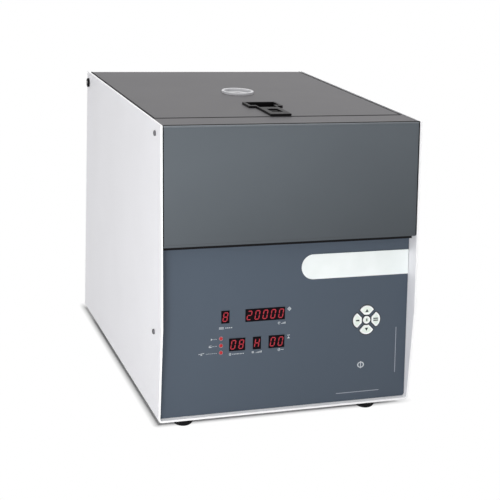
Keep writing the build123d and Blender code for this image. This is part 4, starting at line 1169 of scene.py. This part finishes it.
# %% Pads and signs
SURROUND_INNER, SURROUND_OUTER, PAD_INSET = 0.3 * MM, 1.7 * MM, 1.9 * MM
key_signs = {
    "up_key": (0, 14.6, [[(-2.7, -2.3), (2.7, -2.3), (0, 2.5)]]),
    "down_key": (0, -14.6, [[(-2.7, 2.3), (0, -2.5), (2.7, 2.3)]]),
    "left_key": (-15.0, 0, [bar(-2.6, -1.1, 5.2, 2.2)]),
    "right_key": (14.8, 0, [bar(-3.9, 0.6, 7.8, 1.8), bar(-3.9, -2.4, 7.8, 1.8)]),
    "centre_key": (0, 0, [bar(-1.0, -2.0, 2.0, 4.0)]),
}
low, high = span("centre_key", panel_place)
pad_middle = (low + high).xy / 2 / MM
surrounds = []
for node, (x, y, shapes) in key_signs.items():
    outline, top = key_faces[node]
    loops = [offset(outline, distance) for distance in (SURROUND_INNER, SURROUND_OUTER)]
    surrounds.append((band(*loops, 0, INK), dark_ink))
    pad = slab([inset(outline, PAD_INSET)], top, top + INK)
    marks = [at(pad_middle.x + x, -pad_middle.y - y, shape) for shape in shapes]
    sign = slab(marks, top + INK, top + 2 * INK)
    face = joined(node + "_face", [(pad, key_mint), (sign, dark_ink)])
    on_panel(face, nodes[node]["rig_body"])
on_panel(joined("key_surrounds", surrounds))
print("pad in the middle at", [round(v, 1) for v in pad_middle], "mm;", len(key_signs), "keys")

# %% [markdown]
# ## Rims of the lamps
#
# Each status lamp sits in a thin grey collar that snaps into the panel from the front.

# %% Lamp rims
def loose_parts(node):
    """Lowest and highest corner of each separate solid of a node."""
    shape = merged(nodes[node].data)
    found, done = [], set()
    for start in shape.verts:
        if start in done:
            continue
        group, edge = set(), {start}
        while edge:
            group |= edge
            edge = {e.other_vert(v) for v in edge for e in v.link_edges} - group
        done |= group
        found.append(box([vertex.co for vertex in group]))
    shape.free()
    return found


RIM_INNER, RIM_OUTER, RIM_SHEET = 2.7 * MM, 3.15 * MM, 0.3 * MM
UPRIGHT, FULL_SIZE = (0, 0, 0), (1, 1, 1)
rim = band(circle(RIM_INNER), circle(RIM_OUTER), 0, RIM_SHEET)
lamp_spots = []
for low, high in loose_parts("status_lamps"):
    spot = panel_place.inverted() @ ((low + high) / 2)
    lamp_spots.append(((spot.x, spot.y, 0), UPRIGHT, FULL_SIZE))
on_panel(stamped("lamp_rims", rim, lamp_spots, grey_ink))
print(len(lamp_spots), "lamps")

# %% [markdown]
# ## Rings round the ends of the hinge pins
#
# Each hinge pin is held by a black cap outside the cabinet. Only a small nub of the pin shows through
# the cap's ring, which is a flat band, stamped once on either side.

# %% Rings of the hinge caps
PIN_RING_INNER, PIN_RING_OUTER, PIN_RING_SHEET = 3.1 * MM, 5.6 * MM, 0.4 * MM


def outer_end(low, high, axis):
    """The middle of a box's outer end along an axis, and the turn that faces outwards there."""
    side = 1 if (low + high)[axis] > 0 else -1
    end = (low + high) / 2
    end[axis] = high[axis] if side > 0 else low[axis]
    direction = Vector([side if i == axis else 0 for i in range(3)])
    return end, direction.to_track_quat("Z", "Y")


ring = band(circle(PIN_RING_INNER), circle(PIN_RING_OUTER), 0, PIN_RING_SHEET)
ring_spots = []
for low, high in loose_parts("hinge_caps"):
    end, turn = outer_end(low, high, 0)
    ring_spots.append((end, turn.to_euler(), FULL_SIZE))
pin_rings = stamped("pin_rings", ring, ring_spots, cap_plastic)
piece("pin_rings", pin_rings, nodes["hinge_caps"]["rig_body"])
print(len(ring_spots), "rings")

# %% [markdown]
# ## Cross recesses in the screws
#
# The screws that hold the panels are pan heads with a cross recess. A cross cutter is stamped at every
# head, a little askew as screws are when they are tight, and a Boolean takes it out of the heads.

# %% Cut the recesses
RECESS_HALF, RECESS_WIDTH, RECESS_DEPTH = 2.5 * MM, 1.1 * MM, 1.3 * MM
ASKEW, ASKEW_PACE = 0.3, 5.0
h, w = RECESS_HALF, RECESS_WIDTH / 2
cross = [
    (-h, -w), (-w, -w), (-w, -h), (w, -h), (w, -w), (h, -w),
    (h, w), (w, w), (w, h), (-w, h), (-w, w), (-h, w),
]
cutter_model = slab([cross], -RECESS_DEPTH, RECESS_DEPTH)


def with_recesses(node, axis, metal):
    """Cuts the screws of a node at the outer end of each head, and counts them."""
    spots = []
    for i, (low, high) in enumerate(loose_parts(node)):
        end, turn = outer_end(low, high, axis)
        askew = Matrix.Rotation(math.sin(ASKEW_PACE * i) * ASKEW, 3, "Z").to_quaternion()
        spots.append((end, (turn @ askew).to_euler(), FULL_SIZE))
    cutters = linked("cutters", stamped("cutters", cutter_model, spots, metal))
    body = linked(node, settled(merged(nodes[node].data), node))
    cut = body.modifiers.new("recess", "BOOLEAN")
    cut.operation = "DIFFERENCE"
    cut.object = cutters
    mesh = smooth(taken_from(body, node + "_cut"))
    bpy.data.objects.remove(cutters)
    mesh.materials.clear()
    mesh.materials.append(metal)
    piece(mesh.name, mesh, "cabinet", [node])
    return len(spots)


for node, axis, metal in (("side_screws", 0, screw_steel), ("rear_screws", 1, plated)):
    print(node, with_recesses(node, axis, metal), "recesses cut")

# %% [markdown]
# ## The wire guard of the fan
#
# A finger guard is bent from round wire: concentric rings that are spot welded onto two crossing bars,
# with an eye at each end for the screws. The recipe draws the rings and bars as curves and gives them
# a round section, so the wire's thickness is one input.

# %% Fan guard
WIRE = 1.6 * MM
GUARD_RINGS, RING_PITCH, BAR_REACH, EYE_RADIUS = 4, 9.3 * MM, 46.0 * MM, 3.6 * MM
RING_STEPS, EYE_STEPS, WIRE_STEPS = 48, 20, 10
diagonals = [math.radians(turn) for turn in (45, 135, 225, 315)]


def guard_recipe():
    floats = dict.fromkeys(("Pitch", "Reach", "Eye", "Wire"), "Float")
    recipe = Recipe("wire_guard", Rings="Int", **floats)
    rings, pitch, reach, eye, wire = (
        recipe.given[key] for key in ("Rings", "Pitch", "Reach", "Eye", "Wire")
    )
    line = recipe.node("GeometryNodeMeshLine", {}, {"Count": rings, "Offset": (0, 0, 0)})
    radius = (recipe.node("GeometryNodeInputIndex") + 1) * pitch
    hoops = recipe.copies(line, recipe.circle(1.0, RING_STEPS), Scale=radius)
    rod = recipe.node("GeometryNodeCurvePrimitiveLine", {}, {
        "Start": recipe.point(X=reach * -1), "End": recipe.point(X=reach),
    })
    parts = [recipe.moved(hoops, Translation=recipe.point(Z=wire))]
    parts += [recipe.moved(rod, Rotation=(0, 0, turn)) for turn in diagonals[:2]]
    hook = recipe.circle(eye, EYE_STEPS)
    for turn in diagonals:
        arm = reach + eye
        spot = recipe.point(X=arm * math.cos(turn), Y=arm * math.sin(turn))
        parts.append(recipe.moved(hook, Translation=spot))
    join = recipe.tree.nodes.new("GeometryNodeJoinGeometry")
    for part in reversed(parts):
        recipe.put(join.inputs[0], part)
    wires = {"Geometry": Wire(recipe, join.outputs[0])}
    recipe.ends_with(recipe.node("GeometryNodeCurveToMesh", {}, {
        "Curve": recipe.node("GeometryNodeRealizeInstances", {}, wires),
        "Profile Curve": recipe.circle(wire * 0.5, WIRE_STEPS), "Fill Caps": True,
    }))
    return recipe


low, high = span("fan_guard")
wire_guard = grown(
    "wire_guard", guard_recipe(), Rings=GUARD_RINGS, Pitch=RING_PITCH, Reach=BAR_REACH,
    Eye=EYE_RADIUS, Wire=WIRE, Material=plated,
)
outwards = Matrix.Rotation(math.radians(-90), 4, "X")
middle = (low + high) / 2
wire_guard.transform(Matrix.Translation((middle.x, low.y + WIRE / 2, middle.z)) @ outwards)
wire_guard.shade_smooth()
piece("wire_guard", wire_guard, "cabinet", ["fan_guard"])
print(len(wire_guard.polygons), "faces of wire")

# %% [markdown]
# ## Louvre lips on the rear panel
#
# The cooling slots are pressed, not just cut: the upper edge of each is pushed outwards into a small
# lip that sheds spills. One lip is the model, and it is stamped at the slots of two columns.

# %% Louvre lips
SLOT_ROWS, SLOT_PITCH, SLOT_X = 8, 14.0 * MM, 60.0 * MM
SLOT_WIDTH, SLOT_HEIGHT = 70.0 * MM, 5.0 * MM
SLOTS_BELOW_DECK = 44.0 * MM
LIP_REACH, LIP_SHEET, LIP_MARGIN = 2.4 * MM, 0.8 * MM, 1.0 * MM
LIP_ROWS, LIP_COLUMNS, LIP_SQUARENESS = 6, 24, 6


def lip_model():
    """Half of a dome over a slot: rows of points from the wall out to the lip's free edge."""
    half, row_length = SLOT_WIDTH / 2 - LIP_MARGIN, LIP_COLUMNS + 1
    points, faces = [], []
    for shell in (0.0, LIP_SHEET):
        for row in range(LIP_ROWS + 1):
            rise = math.radians(90 * row / LIP_ROWS)
            for column in range(row_length):
                share = -1 + 2 * column / LIP_COLUMNS
                swell = 1 - abs(share) ** LIP_SQUARENESS
                reach = (LIP_REACH - shell) * math.sin(rise) * swell
                drop = (SLOT_HEIGHT - shell) * (math.cos(rise) - 0.5)
                points.append((share * (half - shell * 0.5), drop, reach))
    count = len(points) // 2
    for row in range(LIP_ROWS):
        for column in range(LIP_COLUMNS):
            a = row * row_length + column
            quad = [a, a + 1, a + row_length + 1, a + row_length]
            faces += [quad[::-1], [count + i for i in quad]]
    rim_loop = [
        *range(row_length), *range(2 * row_length - 1, count, row_length),
        *reversed(range(count - row_length, count - 1)),
        *reversed(range(row_length, count - row_length, row_length)),
    ]
    for a, b in zip(rim_loop, rim_loop[1:] + rim_loop[:1]):
        faces.append([b, a, count + a, count + b])
    shape = bmesh.new()
    shape.from_mesh(mesh_from("lip", points, faces))
    bmesh.ops.recalc_face_normals(shape, faces=shape.faces)
    return settled(shape, "lip")


half_rows = (SLOT_ROWS - 1) / 2 * SLOT_PITCH
slot_spots = [
    ((x, row * SLOT_PITCH - half_rows, 0), UPRIGHT, FULL_SIZE)
    for x in (-SLOT_X, SLOT_X) for row in range(SLOT_ROWS)
]
lips = stamped("louvre_lips", lip_model(), slot_spots, side_paint)
rear_wall = span("rear_panel")[1].y
slots_middle = span("chamber_deck")[1].z - SLOTS_BELOW_DECK - half_rows
lips.transform(
    Matrix.Translation((0, rear_wall, slots_middle)) @ Matrix.Rotation(math.radians(180), 4, "Z")
    @ Matrix.Rotation(math.radians(90), 4, "X")
)
lips.shade_smooth()
piece("louvre_lips", lips, "cabinet")
print("lips:", len(lips.polygons), "faces")

# %% [markdown]
# ## The mask of the sight glass
#
# The window in the lid is a thick plug of acrylic. A grey ring lies on it and leaves only the middle
# clear, just wide enough to hold a strobe or a tachometer over.

# %% Window mask
MASK_HOLE, MASK_GAP, MASK_SHEET = 9.5 * MM, 0.3 * MM, 0.3 * MM
low, high = span("window_lens")
middle = (low + high) / 2
mask_edge = (high.x - low.x) / 2 - MASK_GAP
loops = [circle(radius, middle.x, middle.y, steps=64) for radius in (MASK_HOLE, mask_edge)]
mask = band(*loops, high.z, high.z + MASK_SHEET)
mask.materials.append(mask_plastic)
piece("window_mask", mask, "lid")
print(f"clear middle {2 * MASK_HOLE / MM:.0f} mm wide")

# %% [markdown]
# ## Numbers on the rotor
#
# The eight places of an angle rotor are numbered, so that tubes of equal weight can be put opposite
# each other. The numbers are cut with Blender's own font. A ray is sent down onto the dish at each
# place, and the number lies where it lands, square to the surface, with its foot towards the rim.

# %% Rotor numbers
PLACES = 8
NUMBER_SIZE, NUMBER_INSET, NUMBER_SHEET = 11.0 * MM, 16.0 * MM, 0.2 * MM
RAY_START = 10 * MM
low, high = span("rotor_dish")
number_radius = (high.x - low.x) / 2 - NUMBER_INSET


def rotor_number(index):
    turn = 2 * math.pi * index / PLACES
    outward = Vector((math.cos(turn), math.sin(turn), 0))
    above = Vector((rotor_axis.x, rotor_axis.y, high.z + RAY_START)) + outward * number_radius
    spot, normal = nodes["rotor_dish"].ray_cast(above, Vector((0, 0, -1)))[1:3]
    writing = bpy.data.curves.new("rotor_number", "FONT")
    writing.body = str(index + 1)
    writing.size = NUMBER_SIZE
    writing.align_x, writing.align_y = "CENTER", "CENTER"
    writing.extrude = NUMBER_SHEET
    mesh = taken_from(linked("rotor_number", writing), "rotor_number")
    head = (normal * normal.dot(outward) - outward).normalized()
    axes = Matrix((head.cross(normal), head, normal)).transposed().to_4x4()
    mesh.transform(Matrix.Translation(spot) @ axes)
    return mesh


numbers = joined("rotor_numbers", [(rotor_number(i), dark_ink) for i in range(PLACES)])
piece("rotor_numbers", numbers, nodes["rotor_dish"]["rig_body"])
print("numbers at radius", round(number_radius / MM, 1), "mm")


# %% [markdown]
# ## Floor, background and light
#
# A product shot has a pale floor that melts into a white background, with only a narrow soft shadow.
# The floor is a plain pale surface for every ray that lights the machine. For rays that the camera sees
# directly, or in a reflection, an even white is mixed in. Its share grows outside the shadow's own
# area: quickly at the left and in front, where only a narrow, dark contact shadow shows below the
# machine's lower edges, and slowly to the right and behind. Everything further away is simply white.
# Seen directly, the floor under the machine is painted a darker grey, a painted contact shadow that is
# darkest at the lit left side.

# %% Stage
FLOOR_SIZE = 60.0
FLOOR_GREY, FLOOR_ROUGHNESS = (0.82, 0.82, 0.82), 0.9
# painted shadow: the tones of the floor seen directly under the machine
SHADE_LEFT, SHADE_REST = (0.19, 0.19, 0.19), (0.62, 0.62, 0.62)
SHADE_WIDTH = 0.06
LEFT_INSET, FRONT_INSET, REAR_LENGTH = 0.0185, 0.049, 0.060
NEAR_REACH, FAR_REACH = 0.0105, 0.0305
SHADOW_CURVE = 0.6


def seen_directly(tree):
    """1 for rays from the camera, from a glossy surface or through glass."""
    camera_ray, glossy_ray, clear_ray = (
        tree.node("ShaderNodeLightPath", output=f"Is {kind} Ray")
        for kind in ("Camera", "Glossy", "Transmission")
    )
    return (camera_ray + glossy_ray + clear_ray).clamped()


def outside(place, low, high):
    """How far a coordinate is outside a range, in shares of the reach on that side."""
    return (low - place).above(0) * (1 / NEAR_REACH) + (place - high).above(0) * (1 / FAR_REACH)


def stage_floor():
    finish = Finish("pale_floor", FLOOR_GREY, FLOOR_ROUGHNESS)
    glow = finish.node("ShaderNodeEmission", {}, {"Color": (1, 1, 1, 1), "Strength": 1.0})
    surface = Wire(finish, finish.shader.outputs["BSDF"])
    low, high = (Vector(corner) for corner in cad_box)
    away_x = outside(finish.along("X"), low.x + LEFT_INSET, high.x)
    away_y = outside(finish.along("Y"), low.y + FRONT_INSET, high.y + REAR_LENGTH)
    fade = ((away_x * away_x + away_y * away_y) ** 0.5).clamped() ** SHADOW_CURVE
    seen = seen_directly(finish)
    # painted shadow: seen directly, the floor under the machine is darker, darkest at its left side
    rest = ((finish.along("X") - low.x) * (1 / SHADE_WIDTH)).clamped()
    shade = finish.blend(rest, SHADE_LEFT, SHADE_REST)
    finish.set("Base Color", finish.blend(seen, FLOOR_GREY, shade))
    mixed = finish.node("ShaderNodeMixShader", {}, {0: seen * fade, 1: surface, 2: glow})
    finish.put(finish.tree.nodes["Material Output"].inputs["Surface"], mixed)
    corners = bar(-FLOOR_SIZE / 2, -FLOOR_SIZE / 2, FLOOR_SIZE, FLOOR_SIZE)
    mesh = mesh_from("floor", [(x, y, 0) for x, y in corners], [(0, 1, 2, 3)])
    mesh.materials.append(finish.done())
    linked("floor", mesh)


def white_world(strength):
    world = bpy.data.worlds.new("white_room")
    world.use_nodes = True
    tree = Tree(world.node_tree)
    background = world.node_tree.nodes["Background"]
    tree.put(background.inputs["Strength"], seen_directly(tree) * (1 - strength) + strength)
    tree.put(background.inputs["Color"], (1, 1, 1, 1))
    bpy.context.scene.world = world


def soft_lamp(name, place, aim, size, power):
    data = bpy.data.lights.new(name, "AREA")
    data.shape = "DISK"
    data.size = size
    data.energy = power
    lamp = linked(name, data)
    lamp.location = place
    lamp.rotation_euler = (Vector(aim) - Vector(place)).to_track_quat("-Z", "Y").to_euler()


stage_floor()
white_world(0.45)
soft_lamp("overhead_softbox", (0.3, 0.4, 2.5), (0, 0, 0.2), 2.2, 31)
soft_lamp("left_softbox", (-2.6, -1.0, 1.4), (0, 0, 0.25), 1.8, 9)
soft_lamp("front_key", (-0.75, -1.3, 0.42), (-0.1, -0.2, 0.25), 0.6, 9.5)
bpy.context.scene.view_settings.view_transform = "Standard"
print("stage set")
